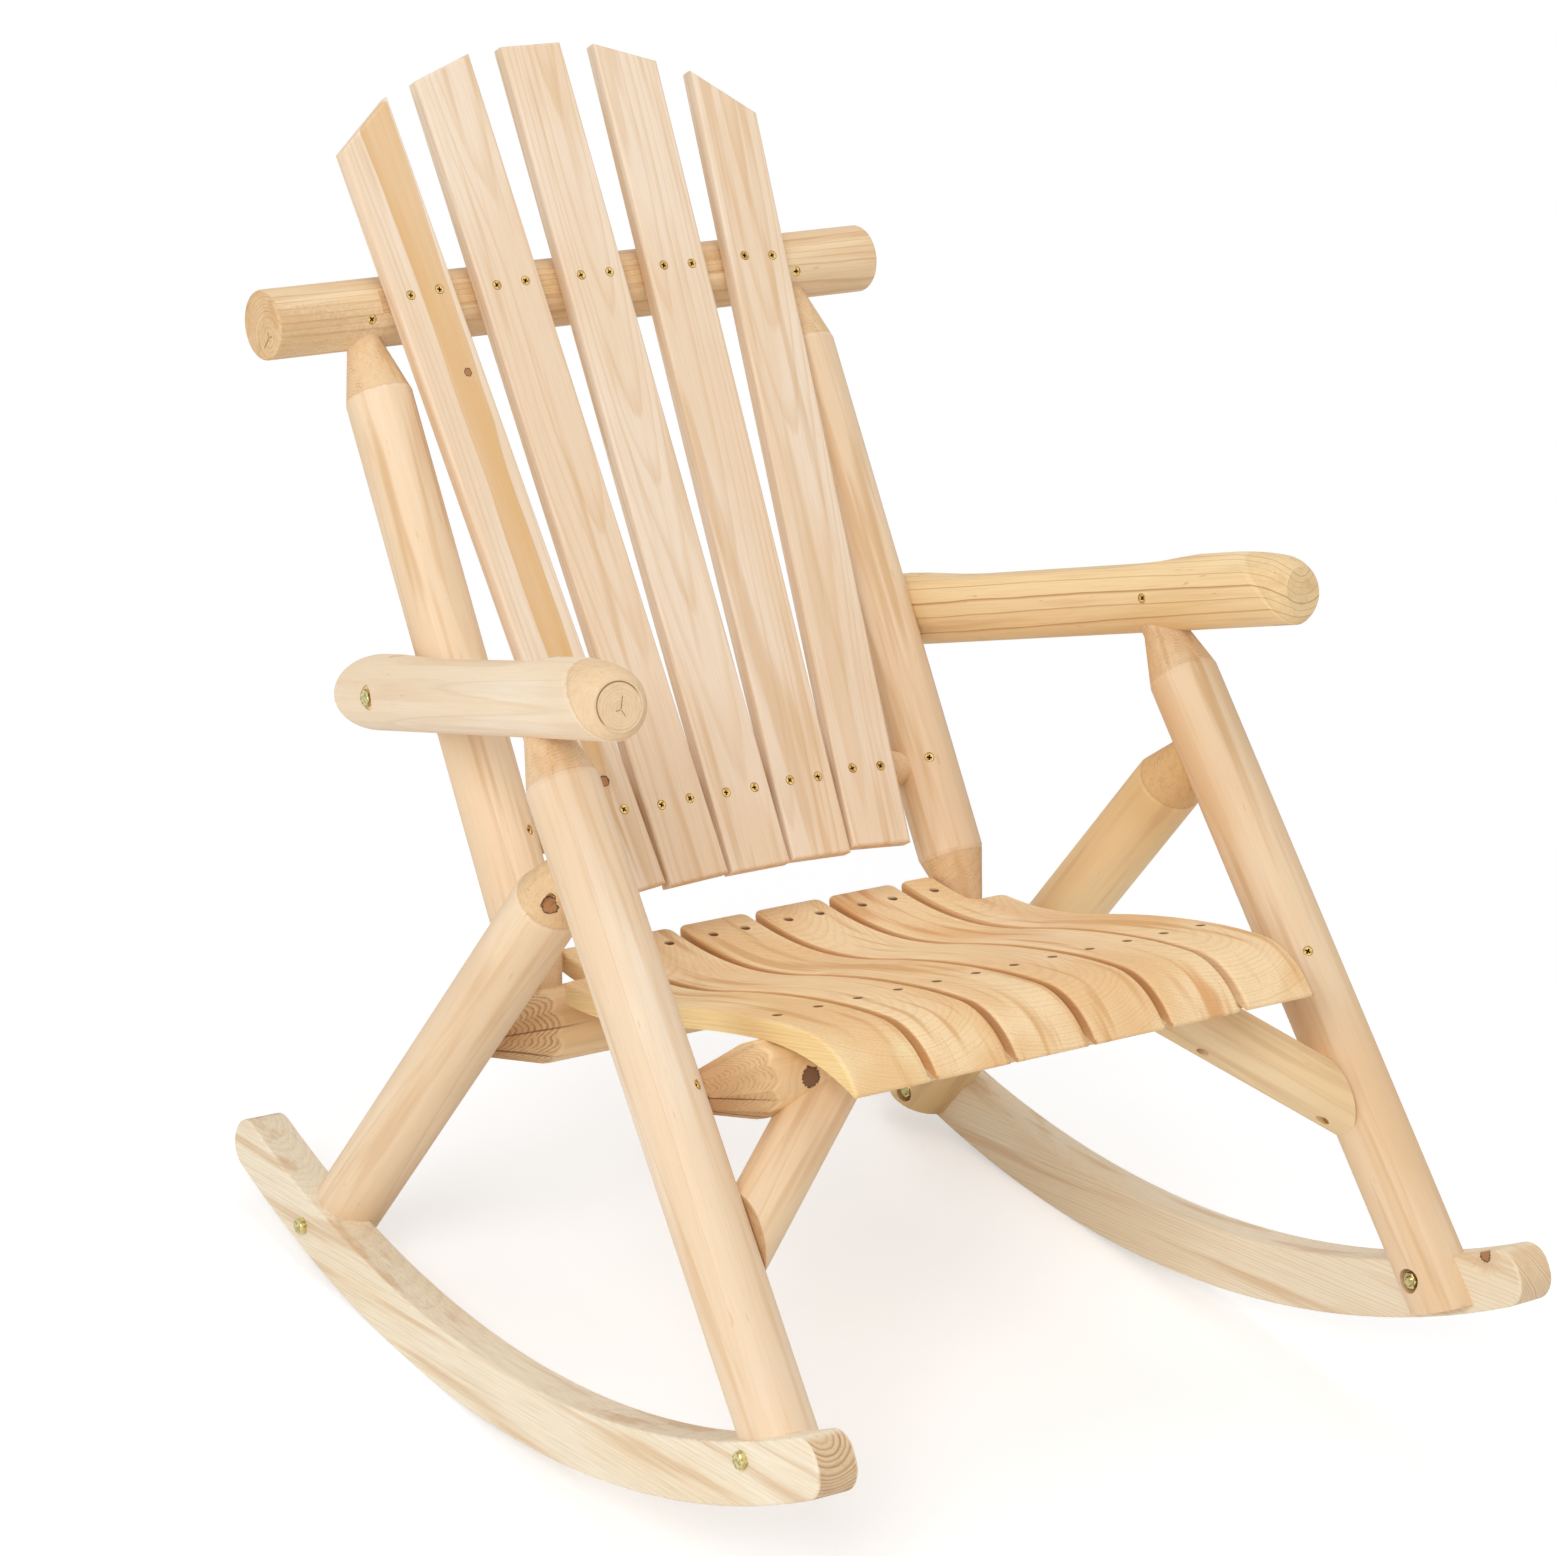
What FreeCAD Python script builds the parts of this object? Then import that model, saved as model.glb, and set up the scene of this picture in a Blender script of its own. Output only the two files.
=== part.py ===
import FreeCAD
import Part
import math
import os

# A rocking adirondack chair built of peeled logs, in millimetres and degrees.
# X runs to the sitter's left, Y to the back and Z up. The chair is built upright, with the origin
# at the lowest point of the rockers' arcs. At the end it rocks back to where it balances, and the
# origin moves to the middle of its footprint.

# Rockers
ROCKER_RADIUS = 995.0
ROCKER_DEPTH = 52.0
ROCKER_THICKNESS = 37.0
ROCKER_SPREAD = 648.5
ROCKER_FRONT_ANGLE = 25.15
ROCKER_REAR_ANGLE = 28.3
ROCKER_END_ROUND = 21.0
ROCKER_EDGE_ROUND = 2.5

# Sides of the frame: the legs lean in by the splay, and legs and rockers close in towards the back
SIDE_SPREAD_AT_FLOOR = 651.0
LEG_SPLAY = 1.0
TOE_IN = 1.35

# Legs
LEG_DIAMETER = 60.0
FRONT_LEG_LEAN = 35.0
FRONT_FOOT_ANGLE = 18.1
REAR_LEG_LEAN = 43.0
REAR_FOOT_ANGLE = 19.1
LEG_TOE_CLEARANCE = 7.0
LEG_TAPER_LENGTH = 44.0
LEG_TENON_DIAMETER = 36.0
LEG_TENON_LENGTH = 26.0

# Seat rails
FRONT_RAIL_HEIGHT = 322.0
FRONT_RAIL_DIAMETER = 61.0
REAR_RAIL_HEIGHT = 287.0
REAR_RAIL_DIAMETER = 62.0
RAIL_TAPER_LENGTH = 60.0
RAIL_TENON_DIAMETER = 30.0
RAIL_TENON_LENGTH = 22.0
RAIL_FLATS = 9

# Braces from the front rail to the front legs
BRACE_DIAMETER = 52.0
BRACE_ANGLE = 41.0
BRACE_FOOT_DROP = 143.0

# Back posts, crossbar and lower rail
BACK_RECLINE = 27.8
POST_SPREAD = 441.0
POST_DIAMETER = 57.5
POST_RISE = 625.0
POST_TAPER_LENGTH = 48.0
POST_TENON_DIAMETER = 30.0
POST_TENON_LENGTH = 22.0
CROSSBAR_DIAMETER = 59.5
CROSSBAR_LENGTH = 621.0
CROSSBAR_SETBACK = 3.0
CROSSBAR_RIM_ROUND = 3.0
LOWER_RAIL_DIAMETER = 44.0
LOWER_RAIL_RISE = 159.0
LOWER_RAIL_TAPER_LENGTH = 26.0
LOWER_RAIL_TENON_DIAMETER = 28.0
LOWER_RAIL_TENON_LENGTH = 18.0

# Back slats, counted from the sitter's right, on flats planed on the two crosspieces
BACK_SLAT_COUNT = 5
BACK_SLAT_WIDTH = 61.0
BACK_SLAT_THICKNESS = 15.5
BACK_SLAT_FAN = 2.4
BACK_SLAT_PITCH_AT_FOOT = 64.0
BACK_SLAT_FOOT_RISE = 90.0
BACK_ARCH_HEIGHT = 838.0
BACK_ARCH_RADIUS = 330.0
BACK_FLAT_DEPTH = 2.5
BACK_FLAT_MARGIN = 6.0
BACK_EDGE_ROUND = 3.0

# Seat slats, counted from the sitter's right
SEAT_SLAT_COUNT = 6
SEAT_SLAT_WIDTH = 70.5
SEAT_SLAT_GAP = 7.7
SEAT_SLAT_THICKNESS = 17.0
SEAT_FRONT_OVERHANG = 119.0
SEAT_REAR_OVERHANG = 27.0
SEAT_DIP = 14.0
SEAT_DIP_PLACE = 0.67
SEAT_BEND_PLACE = 0.3
SEAT_REAR_RISE = 8.0
SEAT_BROW_LENGTH = 60.0
SEAT_BROW_DROP = 3.0
SEAT_TIP_DROP = 43.0
SEAT_TIP_THICKNESS = 4.0
SEAT_TIP_BULGE = 1.6
SEAT_CORNER_ROUND = 8.0
SEAT_EDGE_ROUND = 3.0
NOTCH_WIDTH = 35.0
NOTCH_LENGTH = 58.0

# Armrests
ARM_DIAMETER = 64.0
ARM_SPREAD_AT_LEG = 634.0
ARM_JOINT_ON_LEG = 610.0
ARM_JOINT_ON_POST = 296.0
ARM_SADDLE_DEPTH = 5.5
ARM_FRONT_OVERHANG = 167.0
ARM_REAR_OVERHANG = 74.0
ARM_PLANE_DEPTH = 6.0
ARM_PLANE_START = 19.0
ARM_REAR_EASE = 116.0
ARM_FRONT_EASE = 125.0
ARM_EASE_OVERRUN = 1.0
NOSE_LENGTH = 75.0
NOSE_SHOULDER_LENGTH = 20.0
NOSE_SHOULDER_DIAMETER = 63.0
NOSE_FACE_DIAMETER = 41.0
NOSE_DROP = 4.5

# Screws. Turns are measured round a log from its front towards the sitter's left.
SCREW_HEAD_DIAMETER = 8.4
SCREW_HEAD_RIM = 0.4
SCREW_SHANK_DIAMETER = 4.0
BACK_SCREW_LENGTH = 36.0
BACK_SCREW_SPACING = 29.4
SEAT_SCREW_LENGTH = 34.0
SEAT_SCREW_SPACING_FRONT = 39.5
SEAT_SCREW_SPACING_REAR = 33.0
SEAT_SCREW_SINK = 3.0
FRAME_SCREW_LENGTH = 50.0
FRAME_SCREW_SINK = 0.8
SLANTED_SCREW_SINK = 6.0
LEG_SCREW_TURN = -27.0
POST_SCREW_TURN = -25.0
REAR_LEG_SCREW_TURN = 55.0
REAR_LEG_SCREW_DISTANCE = 47.0
ARM_SCREW_ADVANCE = 16.0
BRACE_SCREW_FROM_RAIL = 59.0
BRACE_SCREW_FROM_LEG = 41.0

# Bolts
BOLT_DIAMETER = 8.0
BOLT_OVERRUN = 2.0
BOLT_HEAD_FLATS = 13.0
BOLT_HEAD_HEIGHT = 5.3
NUT_HEIGHT = 6.5
WASHER_DIAMETER = 16.0
WASHER_THICKNESS = 1.6
COUNTERBORE_DIAMETER = 21.0
NUT_SINK = 10.0
FRONT_BOLT_DROP = 14.0
REAR_BOLT_DROP = 30.0
ARM_BOLT_SETBACK = 8.0
ARM_HEAD_SINK = 3.0

# Kilograms per cubic metre, for the balance of the chair
WOOD_DENSITY = 600.0
STEEL_DENSITY = 7850.0

# Clearance of a bore or a hole, on its radius, and how deep a shoulder sits in a round log
FIT = 0.1
SHOULDER_DEPTH = 2.0

V = FreeCAD.Vector
UP = V(0, 0, 1)
BACK = V(0, 1, 0)
LEFT = V(1, 0, 0)
FAR = 2000.0

wood = {}
hardware = {}


def polar(angle, length=1.0):
    """A vector of the side view, leaning to the back by an angle from the vertical."""
    a = math.radians(angle)
    return V(0, length * math.sin(a), length * math.cos(a))


def flipped(vector):
    return V(-vector.x, vector.y, vector.z)


def mirrored(shape):
    return shape.mirror(V(0, 0, 0), LEFT)


def closed_face(points):
    """A face from its corners. A pair (middle, end) in the list is an arc from the corner before."""
    edges = []
    here = points[0]
    for item in points[1:] + [points[0]]:
        if isinstance(item, tuple):
            edges.append(Part.Arc(here, item[0], item[1]).toShape())
            here = item[1]
        elif here.distanceToPoint(item) > 1e-6:
            edges.append(Part.makeLine(here, item))
            here = item
    return Part.Face(Part.Wire(edges))


def tangent_arc(start, direction, end):
    """The middle of the arc that leaves a point in a direction and ends at another, and the
    direction in which it arrives."""
    chord = end - start
    along = V(chord).normalize()
    turn = math.acos(max(-1.0, min(1.0, along.dot(direction))))
    arriving = along * (2 * along.dot(direction)) - direction
    if turn < 1e-6:
        return start + chord * 0.5, arriving
    outward = (direction - along * along.dot(direction)).normalize()
    return start + chord * 0.5 + outward * (chord.Length / 2 * math.tan(turn / 2)), arriving


def frame_rotation(along, side):
    """The rotation that turns +Z to one direction and +X as near as it can to another."""
    z = V(along).normalize()
    if z.cross(side).Length < 1e-6:
        side = BACK
    y = z.cross(side).normalize()
    return FreeCAD.Rotation(y.cross(z), y, z, "ZYX")


def placed(shape, start, along, side=LEFT):
    moved = shape.copy()
    moved.Placement = FreeCAD.Placement(start, frame_rotation(along, side))
    return moved


def turned(profile):
    """A solid of revolution about +Z through (height, radius) pairs."""
    points = [V(0, 0, profile[0][0])]
    points += [V(radius, 0, height) for height, radius in profile]
    points += [V(0, 0, profile[-1][0])]
    return closed_face(points).revolve(V(0, 0, 0), UP, 360)


def rod(start, end, diameter):
    along = end - start
    return placed(Part.makeCylinder(diameter / 2, along.Length), start, along)


def box_about(centre, along, side):
    """A very large box whose corner lies at a point, with +Z along one direction, +X to a side
    and its middle in Y on the point."""
    return placed(Part.makeBox(FAR, FAR, FAR, V(0, -FAR / 2, 0)), centre, along, side)


def tenoned_log(start, end, diameter, first=None, last=None):
    """A log whose tenons begin at the two points. An end of None is sawn square there."""
    span = (end - start).Length
    profile = [(0, diameter / 2)]
    if first:
        neck = first["diameter"] / 2
        profile = [(-first["length"], neck), (0, neck), (first["taper"], diameter / 2)]
    if last:
        neck = last["diameter"] / 2
        profile += [(span - last["taper"], diameter / 2), (span, neck), (span + last["length"], neck)]
    else:
        profile.append((span, diameter / 2))
    return placed(turned(profile), start, end - start)


def tenon(taper, diameter, length):
    return {"taper": taper, "diameter": diameter, "length": length}


def bored(solid, mouth, inward, kind):
    """The solid with the mortise of a tenon that begins at a point, and room for its taper."""
    floor = mouth + inward * (kind["length"] + 2 * FIT)
    return solid.cut(rod(mouth - inward * SHOULDER_DEPTH * 4, floor, kind["diameter"] + 2 * FIT))


def rounded(solid, radius, wanted):
    return solid.makeFillet(radius, [edge for edge in solid.Edges if wanted(edge)])


def runs_along(edge, direction):
    if len(edge.Vertexes) < 2 or edge.Curve.TypeId != "Part::GeomLine":
        return False
    span = edge.Vertexes[1].Point - edge.Vertexes[0].Point
    return span.cross(direction).Length < 1e-4 * span.Length


def largest(shape):
    return max(shape.Solids, key=lambda solid: solid.Volume)


def facing(front, turn):
    """A direction out of a log, from its front turned towards the sitter's left."""
    return front * math.cos(math.radians(turn)) + LEFT * math.sin(math.radians(turn))


# The lines that the left side of the frame is laid out on

splay = math.tan(math.radians(LEG_SPLAY))
toe = math.tan(math.radians(TOE_IN))
rocker_inner_x = ROCKER_SPREAD / 2
rocker_outer_x = rocker_inner_x + ROCKER_THICKNESS
post_x = POST_SPREAD / 2


def toed(shape):
    """Turns a shape from the length of the chair to the line of its left rocker."""
    shape.rotate(V(rocker_inner_x, 0, 0), UP, TOE_IN)
    return shape


def in_leg_plane(y, z):
    return V(SIDE_SPREAD_AT_FLOOR / 2 - splay * z - toe * y, y, z)


def leg_direction(lean):
    side_view = polar(lean)
    return (side_view - LEFT * (splay * side_view.z + toe * side_view.y)).normalize()


def foot_at(angle):
    """Where a leg's axis meets the top of the rocker, at an angle about the arc's centre."""
    y = ROCKER_RADIUS * math.sin(math.radians(angle))
    return in_leg_plane(y, ROCKER_RADIUS + ROCKER_DEPTH - math.sqrt(ROCKER_RADIUS ** 2 - y ** 2))


def at_height(point, direction, height):
    return point + direction * ((height - point.z) / direction.z)


def crossing(point_a, along_a, point_b, along_b):
    """Where two lines cross in the side view, on the first of them."""
    between = point_b - point_a
    across = along_a.y * along_b.z - along_a.z * along_b.y
    return point_a + along_a * ((between.y * along_b.z - between.z * along_b.y) / across)


def middle(point):
    return V(0, point.y, point.z)


front_up = leg_direction(FRONT_LEG_LEAN)
rear_up = leg_direction(-REAR_LEG_LEAN)
front_leg_front = polar(FRONT_LEG_LEAN - 90)
rear_leg_front = polar(-REAR_LEG_LEAN - 90)
post_up = polar(BACK_RECLINE)
post_front = polar(BACK_RECLINE - 90)

front_foot = foot_at(-FRONT_FOOT_ANGLE)
rear_foot = foot_at(REAR_FOOT_ANGLE)
front_rail = at_height(front_foot, front_up, FRONT_RAIL_HEIGHT)
rear_rail = at_height(rear_foot, rear_up, REAR_RAIL_HEIGHT)
legs_meet = crossing(front_foot, front_up, rear_foot, rear_up)
post_foot = V(post_x, rear_rail.y, rear_rail.z)
post_head = post_foot + post_up * POST_RISE
crossbar_middle = middle(post_head) - post_front * CROSSBAR_SETBACK
lower_rail = post_foot + post_up * LOWER_RAIL_RISE

arm_on_leg = front_foot + front_up * ARM_JOINT_ON_LEG
arm_on_leg.x = ARM_SPREAD_AT_LEG / 2
arm_on_post = post_foot + post_up * ARM_JOINT_ON_POST
arm_on_post.x = post_x + (POST_DIAMETER + ARM_DIAMETER) / 2 - ARM_SADDLE_DEPTH
arm_forward = (arm_on_leg - arm_on_post).normalize()
arm_nose = arm_on_leg + arm_forward * ARM_FRONT_OVERHANG
arm_tail = arm_on_post - arm_forward * ARM_REAR_OVERHANG
arm_across = (LEFT - arm_forward * arm_forward.x).normalize()
arm_up = arm_forward.cross(arm_across)

leg_tenon = tenon(LEG_TAPER_LENGTH, LEG_TENON_DIAMETER, LEG_TENON_LENGTH)
rail_tenon = tenon(RAIL_TAPER_LENGTH, RAIL_TENON_DIAMETER, RAIL_TENON_LENGTH)
post_tenon = tenon(POST_TAPER_LENGTH, POST_TENON_DIAMETER, POST_TENON_LENGTH)
lower_tenon = tenon(LOWER_RAIL_TAPER_LENGTH, LOWER_RAIL_TENON_DIAMETER, LOWER_RAIL_TENON_LENGTH)


def skin_distance(axis, leaving, diameter):
    """How far the surface of a log is from its axis along a line that leaves it slantwise."""
    return diameter / 2 / axis.cross(leaving).Length


in_arm = skin_distance(arm_forward, front_up, ARM_DIAMETER) - SHOULDER_DEPTH
in_front_leg = skin_distance(front_up, rear_up, LEG_DIAMETER) - SHOULDER_DEPTH
front_leg_top = front_foot + front_up * (ARM_JOINT_ON_LEG - in_arm)
rear_leg_top = legs_meet - rear_up * in_front_leg
front_rail_end = front_rail - LEFT * (LEG_DIAMETER / 2 - SHOULDER_DEPTH)
rear_rail_end = rear_rail - LEFT * (LEG_DIAMETER / 2 - SHOULDER_DEPTH)
lower_rail_end = lower_rail - LEFT * (POST_DIAMETER / 2 - SHOULDER_DEPTH)
post_bottom = post_foot + post_up * (REAR_RAIL_DIAMETER / 2 - SHOULDER_DEPTH)
post_top = post_head - post_up * (CROSSBAR_DIAMETER / 2 - SHOULDER_DEPTH)


# Rockers: the top and the bottom are like arcs, one raised by the depth of the board

def make_rocker():
    def disc(centre_z):
        drum = Part.makeCylinder(ROCKER_RADIUS, ROCKER_THICKNESS)
        return placed(drum, V(rocker_inner_x, 0, centre_z), LEFT)

    centre = V(rocker_inner_x, 0, ROCKER_RADIUS)
    front = centre + polar(180 + ROCKER_FRONT_ANGLE, FAR)
    rear = centre + polar(180 - ROCKER_REAR_ANGLE, FAR)
    wedge = closed_face([centre, front, rear]).extrude(LEFT * ROCKER_THICKNESS)
    board = disc(ROCKER_RADIUS).cut(disc(ROCKER_RADIUS + ROCKER_DEPTH)).common(wedge)
    board = rounded(board, ROCKER_END_ROUND, lambda edge: runs_along(edge, LEFT))
    return toed(rounded(board, ROCKER_EDGE_ROUND, lambda edge: edge.BoundBox.XLength < 1e-3))


# Legs: each is a log half lapped over the inner face of the rocker, tenoned at its top

def make_leg(foot, direction, top):
    log = tenoned_log(foot - direction * (3 * ROCKER_DEPTH), top, LEG_DIAMETER, None, leg_tenon)
    arc_centre = V(-FAR / 2, 0, ROCKER_RADIUS)
    toe_arc = Part.makeCylinder(ROCKER_RADIUS - LEG_TOE_CLEARANCE, FAR, arc_centre, LEFT)
    over_rocker = Part.makeCylinder(ROCKER_RADIUS, FAR, arc_centre + UP * ROCKER_DEPTH, LEFT)
    lap = Part.makeBox(FAR, FAR, FAR, V(rocker_inner_x, -FAR / 2, -FAR / 2)).cut(over_rocker)
    return log.common(toe_arc).cut(toed(lap))


# Seat rails: the ends of the round log are hewn down with flats to a round tenon

def hewn_log(end, diameter):
    """A log along X that is the same at both ends. The tenon begins at the point."""
    centre = middle(end)
    log = rod(flipped(end), end, diameter)

    def ring(radius, x):
        corner = radius / math.cos(math.pi / RAIL_FLATS)
        corners = []
        for index in range(RAIL_FLATS):
            turn = 2 * math.pi * (index + 0.5) / RAIL_FLATS
            corners.append(centre + V(x, corner * math.cos(turn), corner * math.sin(turn)))
        return Part.makePolygon(corners + [corners[0]])

    trunk_end = end.x - RAIL_TAPER_LENGTH
    shape = rod(centre - LEFT * trunk_end, centre + LEFT * trunk_end, diameter)
    for side in (-1, 1):
        flats = [ring(diameter / 2, side * trunk_end), ring(rail_tenon["diameter"] / 2, side * end.x)]
        hewn_end = Part.makeLoft(flats, True, True).common(log)
        neck_start = centre + LEFT * (side * end.x)
        neck = rod(neck_start, neck_start + LEFT * (side * rail_tenon["length"]), rail_tenon["diameter"])
        shape = shape.fuse([hewn_end, neck])
    return shape.removeSplitter()


# Armrests: a log planed along the top, half-round at the back, with a milled bullet nose.
# Each is made along +Z from its rear end, with its top towards +Y.

def smooth_step(start, end):
    """Two arcs, as (middle, end) pairs, that lead from one level along +Z to another."""
    halfway = (start + end) * 0.5
    first, arriving = tangent_arc(start, UP, halfway)
    second, arriving = tangent_arc(halfway, arriving, end)
    return [(first, halfway), (second, end)]


def make_arm():
    length = (arm_nose - arm_tail).Length
    radius = ARM_DIAMETER / 2
    nose_start = length - NOSE_LENGTH
    brim = V(radius + NOSE_DROP, 0, nose_start)
    shoulder = V(NOSE_SHOULDER_DIAMETER / 2, 0, length - NOSE_SHOULDER_LENGTH)
    rim = V(NOSE_FACE_DIAMETER / 2, 0, length)
    to_shoulder, arriving = tangent_arc(brim, UP, shoulder)
    to_rim, arriving = tangent_arc(shoulder, arriving, rim)
    bullet = closed_face([
        V(0, 0, 0),
        V(ARM_DIAMETER, 0, 0),
        V(ARM_DIAMETER, 0, nose_start),
        brim,
        (to_shoulder, shoulder),
        (to_rim, rim),
        V(0, 0, length),
    ]).revolve(V(0, 0, 0), UP, 360)
    bullet.translate(V(0, -NOSE_DROP, 0))
    tail = Part.makeCylinder(radius, ARM_DIAMETER, V(-radius, 0, radius), LEFT)
    trunk = Part.makeBox(ARM_DIAMETER, ARM_DIAMETER, length, V(-radius, -radius, radius))
    log = Part.makeCylinder(radius, length).common(bullet).common(tail.fuse(trunk))

    def on_side(height, along):
        return V(-radius, height, along)

    top = radius + ARM_EASE_OVERRUN
    flat = radius - ARM_PLANE_DEPTH
    rear_top = on_side(top, ARM_PLANE_START)
    front_flat = on_side(flat, nose_start - ARM_FRONT_EASE)
    plane = closed_face(
        [rear_top]
        + smooth_step(rear_top, on_side(flat, ARM_PLANE_START + ARM_REAR_EASE))
        + [front_flat]
        + smooth_step(front_flat, on_side(top, nose_start))
        + [on_side(ARM_DIAMETER, nose_start), on_side(ARM_DIAMETER, ARM_PLANE_START)]
    ).extrude(LEFT * ARM_DIAMETER)
    arm = log.cut(plane)
    turn_to_place = FreeCAD.Rotation(-arm_across, arm_up, arm_forward, "ZYX")
    arm.Placement = FreeCAD.Placement(arm_tail, turn_to_place)
    return arm


# The joints are cut as the pieces are made: first the mortises, then the shoulders that fit them

wood["rocker_left"] = make_rocker()
armrest = bored(make_arm(), front_leg_top, front_up, leg_tenon)

front_leg = make_leg(front_foot, front_up, front_leg_top).cut(armrest)
front_leg = bored(front_leg, rear_leg_top, rear_up, leg_tenon)
rear_leg = make_leg(rear_foot, rear_up, rear_leg_top).cut(front_leg)
front_leg = bored(front_leg, front_rail_end, LEFT, rail_tenon)
rear_leg = bored(rear_leg, rear_rail_end, LEFT, rail_tenon)

# Braces, in the plane of the front rail and the front legs

brace_foot = front_rail - front_up * BRACE_FOOT_DROP
brace_head = front_rail - LEFT * (BRACE_FOOT_DROP / math.tan(math.radians(BRACE_ANGLE)))
brace_along = (brace_foot - brace_head).normalize()
brace_under = brace_along.cross(front_up.cross(LEFT)).normalize()
if brace_under.z > 0:
    brace_under = -brace_under


def make_brace():
    log = rod(brace_head, brace_foot + brace_along * BRACE_DIAMETER, BRACE_DIAMETER)
    leg_face = brace_foot - LEFT * (LEG_DIAMETER / 2 - SHOULDER_DEPTH)
    log = log.cut(box_about(leg_face - front_up * FAR / 2, front_up, LEFT))
    rail = rod(flipped(front_rail), front_rail, FRONT_RAIL_DIAMETER)
    above_rail = box_about(brace_head - LEFT * FAR / 2, front_up, LEFT)
    return largest(log.cut([rail, above_rail]))


wood["front_brace_left"] = make_brace()
front_leg = front_leg.cut(wood["front_brace_left"])
front_rail_log = hewn_log(front_rail_end, FRONT_RAIL_DIAMETER).cut([front_leg, mirrored(front_leg)])
rear_rail_log = hewn_log(rear_rail_end, REAR_RAIL_DIAMETER).cut([rear_leg, mirrored(rear_leg)])

# Back posts, crossbar and lower rail

crossbar_reach = LEFT * (CROSSBAR_LENGTH / 2)
crossbar = rod(crossbar_middle - crossbar_reach, crossbar_middle + crossbar_reach, CROSSBAR_DIAMETER)
crossbar = rounded(crossbar, CROSSBAR_RIM_ROUND, lambda edge: edge.Curve.TypeId == "Part::GeomCircle")
for on_side in (V, flipped):
    rear_rail_log = bored(rear_rail_log, on_side(post_bottom), -post_up, post_tenon)
    crossbar = bored(crossbar, on_side(post_top), post_up, post_tenon)

post = tenoned_log(post_bottom, post_top, POST_DIAMETER, post_tenon, post_tenon)
post = largest(post.cut([rear_rail_log, crossbar]))
post = bored(post, lower_rail_end, LEFT, lower_tenon)
lower = tenoned_log(
    flipped(lower_rail_end), lower_rail_end, LOWER_RAIL_DIAMETER, lower_tenon, lower_tenon
)
lower = lower.cut([post, mirrored(post)])

# Back slats, on the line between the flats of the two crosspieces

back_half = BACK_SLAT_COUNT // 2
flat_high = crossbar_middle + post_front * (CROSSBAR_DIAMETER / 2 - BACK_FLAT_DEPTH)
flat_low = middle(lower_rail) + post_front * (LOWER_RAIL_DIAMETER / 2 - BACK_FLAT_DEPTH)
slat_up = (flat_high - flat_low).normalize()
slat_front = LEFT.cross(slat_up)
rise_scale = (flat_high - flat_low).Length / (POST_RISE - LOWER_RAIL_RISE)


def behind_slats(x, rise):
    """A point on the back face of the slats, level with a distance up the posts."""
    return flat_low + LEFT * x + slat_up * ((rise - LOWER_RAIL_RISE) * rise_scale)


def arch_rise(x):
    return BACK_ARCH_HEIGHT - BACK_ARCH_RADIUS + math.sqrt(BACK_ARCH_RADIUS ** 2 - x ** 2)


def slat_direction(place):
    """Along a back slat. The place counts from the middle one towards the sitter's left."""
    fan = math.radians(BACK_SLAT_FAN * place)
    return slat_up * math.cos(fan) + LEFT * math.sin(fan)


def slat_middle(place, rise):
    foot = behind_slats(BACK_SLAT_PITCH_AT_FOOT * place, BACK_SLAT_FOOT_RISE)
    along = slat_direction(place)
    return foot + along * ((rise - BACK_SLAT_FOOT_RISE) * rise_scale / along.dot(slat_up))


def slat_across(place):
    return (slat_front.cross(slat_direction(place)) * -1).normalize()


def up_to_arch(foot, along):
    """The point where a slat's edge reaches the arch that all the tops follow."""
    reach = BACK_ARCH_HEIGHT
    for approach in range(5):
        rise_here = arch_rise((foot + along * reach).x) - BACK_SLAT_FOOT_RISE
        reach = rise_here * rise_scale / along.dot(slat_up)
    return foot + along * reach


def make_back_slat(place):
    along = slat_direction(place)
    half = slat_across(place) * (BACK_SLAT_WIDTH / 2)
    foot = slat_middle(place, BACK_SLAT_FOOT_RISE)
    corners = [foot - half, foot + half, up_to_arch(foot + half, along), up_to_arch(foot - half, along)]
    slat = closed_face(corners).extrude(slat_front * BACK_SLAT_THICKNESS)
    return rounded(slat, BACK_EDGE_ROUND, lambda edge: not runs_along(edge, slat_front))


def planed_for_slats(log, rise):
    half = slat_middle(back_half, rise).x + BACK_SLAT_WIDTH / 2 + BACK_FLAT_MARGIN
    waste = Part.makeBox(2 * half, LOWER_RAIL_DIAMETER, FAR, V(-half, -LOWER_RAIL_DIAMETER, -FAR / 2))
    return log.cut(placed(waste, flat_low, slat_up))


for number in range(BACK_SLAT_COUNT):
    wood["back_slat_%d" % (number + 1)] = make_back_slat(number - back_half)
wood["top_crossbar"] = planed_for_slats(crossbar, POST_RISE)
wood["lower_back_rail"] = planed_for_slats(lower, LOWER_RAIL_RISE)

# Seat slats, sawn to shape. Their side view is drawn from the front rail towards the rear rail.

seat_origin = middle(front_rail)
seat_back = middle(rear_rail) - seat_origin
seat_span = seat_back.Length
seat_back = seat_back.normalize()
seat_up = V(0, -seat_back.z, seat_back.y)
seat_end = seat_span + SEAT_REAR_OVERHANG
front_skin = FRONT_RAIL_DIAMETER / 2
rear_skin = REAR_RAIL_DIAMETER / 2


def in_seat(along, above, x=0.0):
    return seat_origin + LEFT * x + seat_back * along + seat_up * above


def arcs_through(points, direction):
    """Edges that run on smoothly from one point to the next, starting in a direction."""
    edges = []
    for start, end in zip(points, points[1:]):
        halfway, arriving = tangent_arc(start, direction, end)
        edges.append(Part.Arc(start, halfway, end).toShape())
        direction = arriving
    return edges


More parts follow.
